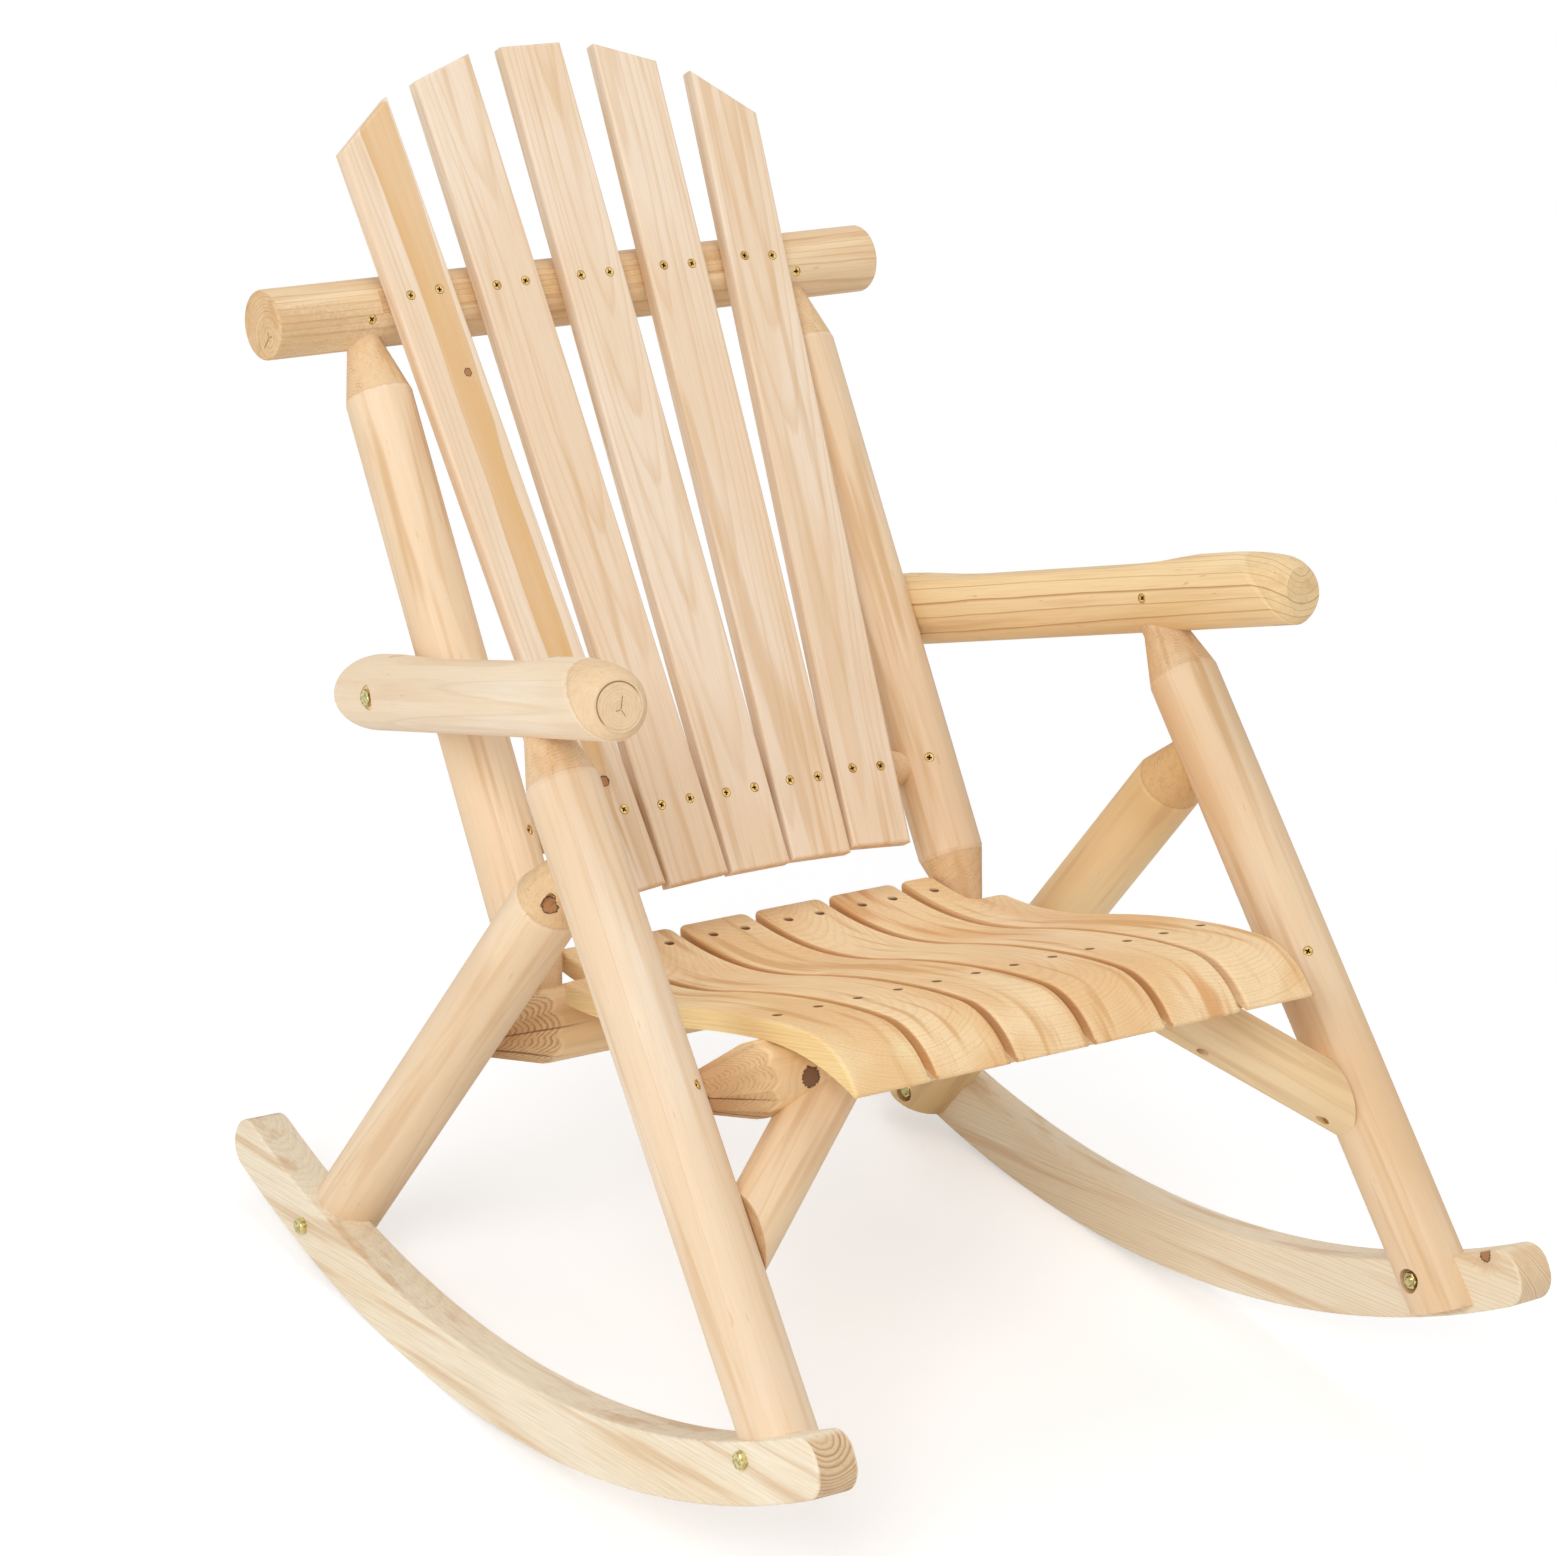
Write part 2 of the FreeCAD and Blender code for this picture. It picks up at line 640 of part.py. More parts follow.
def seat_edge(lift, front_points, x):
    """The upper or lower edge of a slat: it dips before the rear rail and falls at the front."""
    rear_end = in_seat(seat_end, rear_skin + lift + SEAT_REAR_RISE, x)
    over_rear = in_seat(seat_span, rear_skin + lift, x)
    dip = in_seat(seat_span * SEAT_DIP_PLACE, rear_skin + lift - SEAT_DIP, x)
    over_front = in_seat(0, front_skin + lift, x)
    bend = dip + (over_front - dip) * SEAT_BEND_PLACE
    fronts = [in_seat(along, front_skin + above, x) for along, above in front_points]
    edges = arcs_through([dip, over_rear, rear_end], seat_back)
    edges += arcs_through([dip, bend, over_front] + fronts, -seat_back)
    return edges, rear_end, fronts[-1]


def make_seat_slat(x, notch_side):
    """A slat from its right edge at X. A notch side of -1 or 1 lets a back post past."""
    tip_height = SEAT_SLAT_THICKNESS - SEAT_TIP_DROP
    upper, rear_high, tip_high = seat_edge(
        SEAT_SLAT_THICKNESS,
        [
            (-SEAT_BROW_LENGTH, SEAT_SLAT_THICKNESS - SEAT_BROW_DROP),
            (-SEAT_FRONT_OVERHANG, tip_height),
        ],
        x,
    )
    lower_edges, rear_low, tip_low = seat_edge(
        0.0, [(SEAT_TIP_BULGE - SEAT_FRONT_OVERHANG, tip_height - SEAT_TIP_THICKNESS)], x
    )
    tip_middle = (tip_high + tip_low) * 0.5 - seat_back * SEAT_TIP_BULGE
    ends = [Part.Arc(tip_high, tip_middle, tip_low).toShape(), Part.makeLine(rear_low, rear_high)]
    outline = Part.Wire(Part.__sortEdges__(upper + lower_edges + ends))
    board = Part.Face(outline).extrude(LEFT * SEAT_SLAT_WIDTH)
    if notch_side:
        notch = Part.makeBox(SEAT_SLAT_WIDTH, FAR, FAR, V(-SEAT_SLAT_WIDTH / 2, 0, -FAR / 2))
        notch_x = x + SEAT_SLAT_WIDTH / 2 + notch_side * (SEAT_SLAT_WIDTH - NOTCH_WIDTH)
        turn = FreeCAD.Rotation(LEFT, seat_back, seat_up, "XYZ")
        notch.Placement = FreeCAD.Placement(in_seat(seat_end - NOTCH_LENGTH, 0, notch_x), turn)
        board = board.cut(notch)
    board = rounded(board, SEAT_CORNER_ROUND, lambda edge: runs_along(edge, seat_up))
    top_line = Part.Wire(Part.__sortEdges__(upper))

    def on_top(edge):
        half = edge.valueAt((edge.FirstParameter + edge.LastParameter) / 2)
        return top_line.distToShape(Part.Vertex(V(x, half.y, half.z)))[0] < 0.02

    return rounded(board, SEAT_EDGE_ROUND, on_top)


seat_pitch = SEAT_SLAT_WIDTH + SEAT_SLAT_GAP
seat_half = (SEAT_SLAT_COUNT - 1) / 2
seat_slats = []
for number in range(SEAT_SLAT_COUNT):
    notched = {0: -1, SEAT_SLAT_COUNT - 1: 1}.get(number, 0)
    slat = make_seat_slat((number - seat_half) * seat_pitch - SEAT_SLAT_WIDTH / 2, notched)
    wood["seat_slat_%d" % (number + 1)] = slat
    seat_slats.append(slat)

# The rails are planed where the slats lie on them, and the arm is cut to clasp the post
wood["front_seat_rail"] = front_rail_log.cut(seat_slats)
wood["rear_seat_rail"] = rear_rail_log.cut(seat_slats)
wood["back_post_left"] = post.cut(seat_slats[-1])
wood["armrest_left"] = armrest.cut(post)
wood["front_leg_left"] = front_leg
wood["rear_leg_left"] = rear_leg


# Screws: each kind is one node, and drills the pieces that it goes through

def screw(length):
    """A countersunk screw whose head faces +Z at the origin."""
    neck = SCREW_SHANK_DIAMETER / 2
    head = SCREW_HEAD_DIAMETER / 2
    return turned([
        (-length, SCREW_HEAD_RIM),
        (-length + SCREW_SHANK_DIAMETER, neck),
        (-SCREW_HEAD_RIM - head + neck, neck),
        (-SCREW_HEAD_RIM, head),
        (0, head),
    ])


def screw_hole(length, sink):
    """The hole of that screw, with a bore over its head."""
    neck = SCREW_SHANK_DIAMETER / 2 + FIT
    head = SCREW_HEAD_DIAMETER / 2 + FIT
    return turned([
        (-length - FIT, neck),
        (-SCREW_HEAD_RIM - head + neck, neck),
        (-SCREW_HEAD_RIM, head),
        (2 * sink + SCREW_HEAD_DIAMETER, head),
    ])


def drive(node, seats, length, sink, drilled):
    """Puts screws at (point on the surface, direction outwards) pairs."""
    solids = []
    holes = []
    for point, outward in seats:
        head_point = point - outward * sink
        solids.append(placed(screw(length), head_point, outward))
        holes.append(placed(screw_hole(length, sink), head_point, outward))
    hardware[node] = solids
    for name in drilled:
        wood[name] = wood[name].cut(holes)


def both_sides(seats):
    return seats + [(flipped(point), flipped(outward)) for point, outward in seats]


def back_screws(rise):
    seats = []
    for place in range(-back_half, back_half + 1):
        for side in (-1, 1):
            shift = slat_across(place) * (side * BACK_SCREW_SPACING / 2)
            on_face = slat_middle(place, rise) + shift + slat_front * BACK_SLAT_THICKNESS
            seats.append((on_face, slat_front))
    return seats


def seat_screws(along, skin, spacing):
    """One screw on each side of every slat, where the slat isn't notched."""
    seats = []
    for place in range(SEAT_SLAT_COUNT):
        for side in (-1, 1):
            x = (place - seat_half) * seat_pitch + side * spacing / 2
            if along < seat_end - NOTCH_LENGTH or abs(x) < seat_half * seat_pitch:
                seats.append((in_seat(along, skin + SEAT_SLAT_THICKNESS, x), seat_up))
    return seats


back_slat_names = ["back_slat_%d" % (number + 1) for number in range(BACK_SLAT_COUNT)]
seat_slat_names = ["seat_slat_%d" % (number + 1) for number in range(SEAT_SLAT_COUNT)]
drive(
    "back_screws_upper", back_screws(POST_RISE), BACK_SCREW_LENGTH, 0,
    back_slat_names + ["top_crossbar"],
)
drive(
    "back_screws_lower", back_screws(LOWER_RAIL_RISE), BACK_SCREW_LENGTH, 0,
    back_slat_names + ["lower_back_rail"],
)
drive(
    "seat_screws_front", seat_screws(0, front_skin, SEAT_SCREW_SPACING_FRONT),
    SEAT_SCREW_LENGTH, SEAT_SCREW_SINK, seat_slat_names + ["front_seat_rail"],
)
drive(
    "seat_screws_rear", seat_screws(seat_span, rear_skin, SEAT_SCREW_SPACING_REAR),
    SEAT_SCREW_LENGTH, SEAT_SCREW_SINK, seat_slat_names + ["rear_seat_rail"],
)

out_of_leg = facing(front_leg_front, LEG_SCREW_TURN)
drive(
    "leg_screws", both_sides([(front_rail + out_of_leg * (LEG_DIAMETER / 2), out_of_leg)]),
    FRAME_SCREW_LENGTH, FRAME_SCREW_SINK, ["front_leg_left", "front_seat_rail"],
)

crossbar_skin = crossbar_middle + LEFT * post_x - BACK * (CROSSBAR_DIAMETER / 2)
drive(
    "crossbar_screws", both_sides([(crossbar_skin, -BACK)]),
    FRAME_SCREW_LENGTH, FRAME_SCREW_SINK, ["top_crossbar", "back_post_left"],
)

out_of_post = facing(post_front, POST_SCREW_TURN)
drive(
    "post_screws", both_sides([(lower_rail + out_of_post * (POST_DIAMETER / 2), out_of_post)]),
    FRAME_SCREW_LENGTH, FRAME_SCREW_SINK, ["back_post_left", "lower_back_rail"],
)

arm_inner_skin = arm_on_leg + arm_forward * ARM_SCREW_ADVANCE - arm_across * (ARM_DIAMETER / 2)
drive(
    "armrest_screws", both_sides([(arm_inner_skin, -arm_across)]),
    FRAME_SCREW_LENGTH, FRAME_SCREW_SINK, ["armrest_left", "front_leg_left"],
)

out_of_cone = facing(rear_leg_front, REAR_LEG_SCREW_TURN)
cone_slope = (LEG_DIAMETER - LEG_TENON_DIAMETER) / 2 / LEG_TAPER_LENGTH
cone_distance = REAR_LEG_SCREW_DISTANCE - (legs_meet - rear_leg_top).Length
cone_radius = LEG_TENON_DIAMETER / 2 + cone_slope * cone_distance
cone_skin = legs_meet - rear_up * REAR_LEG_SCREW_DISTANCE + out_of_cone * cone_radius
drive(
    "rear_leg_screws", both_sides([(cone_skin, (out_of_cone - rear_up).normalize())]),
    FRAME_SCREW_LENGTH, SLANTED_SCREW_SINK, ["rear_leg_left", "front_leg_left"],
)

brace_skin = brace_under * (BRACE_DIAMETER / 2)
near_rail = brace_head + brace_along * BRACE_SCREW_FROM_RAIL + brace_skin
near_leg = brace_foot - brace_along * BRACE_SCREW_FROM_LEG + brace_skin
drive(
    "brace_screws", both_sides([(near_rail, -front_up), (near_leg, -LEFT)]),
    FRAME_SCREW_LENGTH, SLANTED_SCREW_SINK, ["front_brace_left", "front_seat_rail", "front_leg_left"],
)


# Bolts: a hex head on the outside, and a washer and a nut in a counterbore on the inside

def hexagon(seat, along, flats, height):
    """A hexagonal prism that rises from the middle of its base."""
    corners = [polar(60 * index, flats / math.sqrt(3)) for index in range(6)]
    prism = closed_face(corners).extrude(LEFT * height)
    prism.Placement = FreeCAD.Placement(seat, FreeCAD.Rotation(LEFT, along))
    return prism


def bolt_through(node, head_seat, washer_seat, headed, nutted):
    """A bolt with its head on the first piece and its washer and nut on the second."""
    along = (head_seat - washer_seat).normalize()
    nut_seat = washer_seat - along * WASHER_THICKNESS
    nut_end = nut_seat - along * NUT_HEIGHT
    shank_end = nut_end - along * BOLT_OVERRUN
    shank = rod(shank_end, head_seat, BOLT_DIAMETER)
    head = hexagon(head_seat, along, BOLT_HEAD_FLATS, BOLT_HEAD_HEIGHT)
    hole = rod(shank_end, head_seat, BOLT_DIAMETER + 2 * FIT)
    solids = {
        "_bolts": shank.fuse(head).removeSplitter(),
        "_washers": rod(nut_seat, washer_seat, WASHER_DIAMETER).cut(hole),
        "_nuts": hexagon(nut_end, along, BOLT_HEAD_FLATS, NUT_HEIGHT).cut(hole),
    }
    for kind, solid in solids.items():
        hardware.setdefault(node + kind, []).extend([solid, mirrored(solid)])
    head_room = rod(head_seat, head_seat + along * LEG_DIAMETER, COUNTERBORE_DIAMETER)
    nut_room = rod(washer_seat - along * LEG_DIAMETER, washer_seat, COUNTERBORE_DIAMETER)
    wood[headed] = wood[headed].cut([hole, head_room])
    wood[nutted] = wood[nutted].cut([hole, nut_room])


across_rocker = FreeCAD.Rotation(UP, TOE_IN).multVec(LEFT)
for leg, foot, direction, drop in (
    ("front_leg_left", front_foot, front_up, FRONT_BOLT_DROP),
    ("rear_leg_left", rear_foot, rear_up, REAR_BOLT_DROP),
):
    on_axis = foot - direction * drop
    washer_seat = on_axis - across_rocker * (LEG_DIAMETER / 2 - NUT_SINK)
    from_inner_face = (on_axis - V(rocker_inner_x, 0, on_axis.z)).dot(across_rocker)
    head_seat = on_axis + across_rocker * (ROCKER_THICKNESS - from_inner_face)
    bolt_through("rocker", head_seat, washer_seat, "rocker_left", leg)

arm_bolt = arm_on_post - arm_forward * ARM_BOLT_SETBACK
arm_head_seat = arm_bolt + LEFT * (ARM_DIAMETER / 2 - ARM_HEAD_SINK)
post_washer_seat = V(post_x - POST_DIAMETER / 2 + NUT_SINK, arm_bolt.y, arm_bolt.z)
bolt_through("armrest", arm_head_seat, post_washer_seat, "armrest_left", "back_post_left")

# The right side

for name in [name for name in wood if name.endswith("_left")]:
    wood[name.replace("_left", "_right")] = mirrored(wood[name])

# An empty chair rocks back until its centre of mass is over the line where it touches the floor

parts = dict(wood)
for node, solids in hardware.items():
    parts[node] = Part.makeCompound(solids)
arc_centre = V(0, 0, ROCKER_RADIUS)
moment = V()
mass = 0.0
for node, shape in parts.items():
    weight = shape.Volume * (STEEL_DENSITY if node in hardware else WOOD_DENSITY)
    moment += (shape.CenterOfGravity - arc_centre) * weight
    mass += weight
rest_lean = math.degrees(math.atan2(moment.y, -moment.z))
for shape in parts.values():
    shape.rotate(arc_centre, LEFT, -rest_lean)

# The bottom centre of the bounding box becomes the origin

bounds = Part.makeCompound(list(parts.values())).optimalBoundingBox(False, False)
recentre = V(0, -(bounds.YMin + bounds.YMax) / 2, -bounds.ZMin)

os.makedirs("parts", exist_ok=True)
for node, shape in parts.items():
    shape.translate(recentre)
    shape.exportStep("parts/%s.step" % node)
    print(node, len(shape.Solids), "solids", round(shape.Volume / 1000, 1), "cm3", shape.isValid())
print("size %.1f %.1f %.1f, moved %s" % (bounds.XLength, bounds.YLength, bounds.ZLength, recentre))
print("leaned back %.3f degrees, mass %.2f kg" % (rest_lean, mass * 1e-9))
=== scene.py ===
import bpy
import math
import numpy as np
from mathutils import Matrix, Vector


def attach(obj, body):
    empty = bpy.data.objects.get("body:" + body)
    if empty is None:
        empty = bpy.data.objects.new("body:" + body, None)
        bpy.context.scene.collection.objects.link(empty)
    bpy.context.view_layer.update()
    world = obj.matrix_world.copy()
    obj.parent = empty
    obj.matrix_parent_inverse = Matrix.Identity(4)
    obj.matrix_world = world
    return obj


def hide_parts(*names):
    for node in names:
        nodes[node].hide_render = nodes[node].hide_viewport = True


# A rocking adirondack chair of peeled logs. The wooden pieces keep their solids and get wood
# that is worked out in depth: growth rings round a pith line, so that a taper, a planed face
# and an end all show the rings where the cut meets them. The screws, bolts and nuts are made
# again with their recesses, chamfers and threads.

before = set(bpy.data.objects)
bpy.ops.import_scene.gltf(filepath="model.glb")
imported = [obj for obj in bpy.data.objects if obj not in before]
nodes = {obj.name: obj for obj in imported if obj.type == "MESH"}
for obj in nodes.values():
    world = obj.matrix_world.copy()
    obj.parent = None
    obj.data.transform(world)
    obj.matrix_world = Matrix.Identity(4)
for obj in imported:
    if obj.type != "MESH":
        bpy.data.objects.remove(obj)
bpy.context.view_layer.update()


def linear(red, green, blue):
    # a screen colour of 0 to 255 as the light values that the shaders use
    shares = [value / 255 for value in (red, green, blue)]
    light = [share / 12.92 if share <= 0.04045 else ((share + 0.055) / 1.055) ** 2.4 for share in shares]
    return (*light, 1.0)


# The camera comes from pairs of mirrored points in the photograph, for a lens that was assumed.
# The chair rests rocked back, further than in the photograph, so the camera is rocked with it.
view = {
    "place": (-2.53148, -3.1522, 2.17852),
    "turn": (66.9634, -6.2181, -35.5026),
    "lens": 122.62,
}


def makeCamera(view):
    camera = bpy.data.objects.new("camera", bpy.data.cameras.new("camera"))
    camera.location = view["place"]
    camera.rotation_euler = [math.radians(angle) for angle in view["turn"]]
    camera.data.lens = view["lens"]
    camera.data.clip_end = 100
    bpy.context.scene.collection.objects.link(camera)
    bpy.context.scene.camera = camera


class Wire:
    # a socket that can stand in a sum: each operator adds the Math node that it names
    def __init__(self, shader, socket):
        self.shader = shader
        self.socket = socket

    def __add__(self, other):
        return self.shader.math("ADD", self, other)

    def __sub__(self, other):
        return self.shader.math("SUBTRACT", self, other)

    def __rsub__(self, other):
        return self.shader.math("SUBTRACT", other, self)

    def __mul__(self, other):
        return self.shader.math("MULTIPLY", self, other)

    def __truediv__(self, other):
        return self.shader.math("DIVIDE", self, other)

    __radd__ = __add__
    __rmul__ = __mul__


class Shader:
    # the nodes of one material or world
    def __init__(self, owner):
        owner.use_nodes = True
        self.tree = owner.node_tree
        self.tree.nodes.clear()

    def node(self, kind, settings=None, values=None, output=0):
        # a node of any kind: its settings come first, then the values or links of its sockets
        made = self.tree.nodes.new(kind)
        for key, value in (settings or {}).items():
            setattr(made, key, value)
        for key, value in (values or {}).items():
            if isinstance(value, Wire):
                self.tree.links.new(value.socket, made.inputs[key])
            else:
                made.inputs[key].default_value = value
        return Wire(self, made.outputs[output]) if made.outputs else made

    def math(self, operation, *terms):
        return self.node("ShaderNodeMath", {"operation": operation}, dict(enumerate(terms)))

    def vector(self, operation, *terms, output=0):
        return self.node(
            "ShaderNodeVectorMath", {"operation": operation}, dict(enumerate(terms)), output
        )

    def split(self, vector):
        # the three numbers of a vector or colour
        made = self.node("ShaderNodeSeparateXYZ", {}, {"Vector": vector}).socket.node
        return [Wire(self, made.outputs[axis]) for axis in "XYZ"]

    def stretch(self, place, scales, shift=0.0):
        # the place with each axis scaled, moved by the piece's own shift so that no two match
        return self.node(
            "ShaderNodeMapping", {}, {"Vector": place, "Scale": scales, "Location": (shift,) * 3}
        )

    def noise(self, place, detail=2.0, roughness=0.5, output="Fac"):
        values = {"Vector": place, "Scale": 1.0, "Detail": detail, "Roughness": roughness}
        return self.node("ShaderNodeTexNoise", {}, values, output)

    def ease(self, value, low, high, to=(0.0, 1.0)):
        # a smooth step from low to high
        ends = {"From Min": low, "From Max": high, "To Min": to[0], "To Max": to[1]}
        settings = {"interpolation_type": "SMOOTHSTEP"}
        return self.node("ShaderNodeMapRange", settings, {"Value": value, **ends})

    def blend(self, share, first, second):
        # two colours mixed by a share
        return self.node("ShaderNodeMix", {"data_type": "RGBA"}, {0: share, 6: first, 7: second}, 2)

    def finish(self, surface, kind="ShaderNodeOutputMaterial"):
        self.node(kind, {}, {"Surface": surface})


whiteLight = (1, 1, 1, 1)

lighting = {
    "sky": 0.50,
    "skyColour": (0.99, 0.997, 0.99, 1.0),
    "lamps": (
        # name, place, width, power in watts
        ("keyLamp", (-3.2, -2.4, 3.2), 2.0, 80.0),
        ("sideLamp", (-4.2, 0.3, 0.9), 2.4, 28.0),
        ("fillLamp", (2.2, -3.8, 2.4), 2.6, 15.0),
        ("topLamp", (0.4, 0.2, 3.8), 2.6, 31.0),
    ),
    "aim": (0.0, 0.0, 0.45),
}


def makeLight(lighting):
    # white where the camera or a reflection looks past the floor, and a soft grey sky on the chair
    world = bpy.data.worlds.new("studio")
    s = Shader(world)
    path = {name: s.node("ShaderNodeLightPath", output=name) for name in
            ("Is Camera Ray", "Is Glossy Ray", "Is Transmission Ray")}
    seen = s.math("MAXIMUM", path["Is Camera Ray"], path["Is Transmission Ray"])
    seen = s.math("MAXIMUM", seen, path["Is Glossy Ray"])
    grey = {"Color": lighting["skyColour"], "Strength": lighting["sky"]}
    sky = s.node("ShaderNodeBackground", {}, grey)
    white = s.node("ShaderNodeBackground", {}, {"Color": whiteLight, "Strength": 1.0})
    both = s.node("ShaderNodeMixShader", {}, {0: seen, 1: sky, 2: white})
    s.finish(both, "ShaderNodeOutputWorld")
    bpy.context.scene.world = world
    for name, place, width, power in lighting["lamps"]:
        lamp = bpy.data.lights.new(name, "AREA")
        lamp.shape = "DISK"
        lamp.size = width
        lamp.energy = power
        holder = bpy.data.objects.new(name, lamp)
        holder.location = place
        aim = Vector(lighting["aim"]) - Vector(place)
        holder.rotation_euler = aim.to_track_quat("-Z", "Y").to_euler()
        bpy.context.scene.collection.objects.link(holder)


floor = {
    "radius": 9.0,
    "corners": 64,
    "paper": linear(222, 223, 225),
    "bounce": linear(250, 250, 250),  # what the chair sees of it
    "glow": 0.46,
    "fadeFrom": 0.75,
    "fadeTo": 1.4,
}


def makeFloor(floor):
    # a pale round floor that keeps the chair's shadow and fades to white away from it
    turns = np.linspace(0, 2 * np.pi, floor["corners"], endpoint=False)
    rim = np.stack([np.cos(turns), np.sin(turns), 0 * turns], axis=1) * floor["radius"]
    mesh = bpy.data.meshes.new("floor")
    mesh.from_pydata(rim.tolist(), [], [list(range(len(rim)))])
    ground = bpy.data.objects.new("floor", mesh)
    bpy.context.scene.collection.objects.link(ground)
    material = bpy.data.materials.new("palePaper")
    s = Shader(material)
    place = s.node("ShaderNodeTexCoord", output="Object")
    seen = s.node("ShaderNodeLightPath", output="Is Camera Ray")
    paper = s.node("ShaderNodeBsdfDiffuse", {}, {"Color": floor["paper"]})
    bounce = s.node("ShaderNodeBsdfDiffuse", {}, {"Color": floor["bounce"]})
    glow = s.node("ShaderNodeEmission", {}, {"Color": whiteLight, "Strength": floor["glow"]})
    white = s.node("ShaderNodeEmission", {}, {"Color": whiteLight, "Strength": 1.0})
    lit = s.node("ShaderNodeAddShader", {}, {0: paper, 1: glow})
    away = s.ease(s.vector("LENGTH", place, output="Value"), floor["fadeFrom"], floor["fadeTo"])
    shown = s.node("ShaderNodeMixShader", {}, {0: away, 1: lit, 2: white})
    s.finish(s.node("ShaderNodeMixShader", {}, {0: seen, 1: bounce, 2: shown}))
    mesh.materials.append(material)


makeCamera(view)
makeLight(lighting)
makeFloor(floor)
print("camera, light and floor are set")


def facesOf(node):
    # the centres, normals and sizes of a piece's faces
    mesh = node.data
    centres = np.empty(len(mesh.polygons) * 3)
    normals = np.empty(len(mesh.polygons) * 3)
    sizes = np.empty(len(mesh.polygons))
    mesh.polygons.foreach_get("center", centres)
    mesh.polygons.foreach_get("normal", normals)
    mesh.polygons.foreach_get("area", sizes)
    return centres.reshape(-1, 3), normals.reshape(-1, 3), sizes


def boardLine(node):
    # the centre, length and width of a board, from its faces weighed by their size. Only the
    # middle of its length is weighed the second time, so that slanted ends don't turn the line.
    middleShare = 0.3
    centres, _, sizes = facesOf(node)
    kept = np.ones(len(sizes), bool)
    for attempt in range(2):
        centre = np.average(centres[kept], axis=0, weights=sizes[kept])
        spread = (centres[kept] - centre) * np.sqrt(sizes[kept])[:, None]
        axes = np.linalg.svd(spread, full_matrices=False)[2]
        along = (centres - centre) @ axes[0]
        kept = np.abs(along) < middleShare * np.ptp(along)
    return centre, axes[0], axes[1]


logFit = {
    "slacks": (0.06, 0.03, 0.01),  # how far a face may tip along the log and still count, ever less
    "lastSlack": 0.02,
    "rounds": 12,
    "tolerance": 0.0003,  # a face that lies further off the circle loses its weight
}


def logLine(node):
    # the middle, direction, radius and half length of a round log: the direction is the one that
    # its normals avoid, and the circle c, r solves centre . normal = c . normal + r for its faces
    centres, normals, sizes = facesOf(node)
    axis = boardLine(node)[1]
    for slack in logFit["slacks"]:
        lying = np.abs(normals @ axis) < slack
        heavy = normals[lying] * np.sqrt(sizes[lying])[:, None]
        axis = np.linalg.svd(heavy, full_matrices=False)[2][2]
    lying = np.abs(normals @ axis) < logFit["lastSlack"]
    across = np.cross(axis, (0.0, 0.0, 1.0))
    across /= np.linalg.norm(across)
    plane = np.stack([across, np.cross(axis, across)], axis=1)
    flat, facing = centres[lying] @ plane, normals[lying] @ plane
    weight = sizes[lying]
    reach = (flat * facing).sum(axis=1)
    table = np.column_stack([facing, np.ones(len(reach))])
    for attempt in range(logFit["rounds"]):
        root = np.sqrt(weight)[:, None]
        found = np.linalg.lstsq(table * root, reach * root[:, 0], rcond=None)[0]
        weight = sizes[lying] / (1 + ((reach - table @ found) / logFit["tolerance"]) ** 2)
    along = centres @ axis
    halfway = (along.max() + along.min()) / 2
    middle = plane @ found[:2] + axis * halfway
    return middle, axis, found[2], np.ptp(along) / 2


def grainTurn(length, width):
    # the turn that lays Z along the grain, upwards or to the back, and X across towards +X
    alongGrain = Vector(length).normalized()
    if alongGrain.z + alongGrain.y * 0.5 < 0:
        alongGrain = -alongGrain
    across = Vector(width)
    across = (across - alongGrain * across.dot(alongGrain)).normalized()
    if across.x < 0:
        across = -across
    return Matrix((across, alongGrain.cross(across), alongGrain)).transposed()


def solidsOf(node):
    # the separate solids of a node, as arrays of points: corners at one place are one, and each
    # face passes the lowest label round its corners until nothing changes
    mesh = node.data
    points = np.empty(len(mesh.vertices) * 3)
    mesh.vertices.foreach_get("co", points)
    points = points.reshape(-1, 3)
    mesh.calc_loop_triangles()
    corners = np.empty(len(mesh.loop_triangles) * 3, int)
    mesh.loop_triangles.foreach_get("vertices", corners)
    places, owner = np.unique(points.round(6), axis=0, return_inverse=True)
    faces = owner.ravel()[corners].reshape(-1, 3)
    label = np.arange(len(places))
    while True:
        lowest = label[faces].min(axis=1)
        fresh = label.copy()
        for corner in range(3):
            np.minimum.at(fresh, faces[:, corner], lowest)
        fresh = fresh[fresh]
        if (fresh == label).all():
            break
        label = fresh
    return [places[label == value] for value in np.unique(label)]


def lineOf(points):
    # a fastener's centre and axis, from its thin end to its head, where the two ends lie on the
    # axis, and its head's radius
    centre = points.mean(axis=0)
    axis = np.linalg.svd(points - centre, full_matrices=False)[2][0]
    along = (points - centre) @ axis
    out = np.linalg.norm(points - centre - np.outer(along, axis), axis=1)
    if along[out.argmax()] < 0:
        axis, along = -axis, -along
    return centre, axis, along.min(), along.max(), out.max()


def ringLine(points):
    # a nut's axis is the direction in which it is shortest
    centre = points.mean(axis=0)
    axis = np.linalg.svd(points - centre, full_matrices=False)[2][2]
    along = (points - centre) @ axis
    return centre, axis, along.min(), along.max()


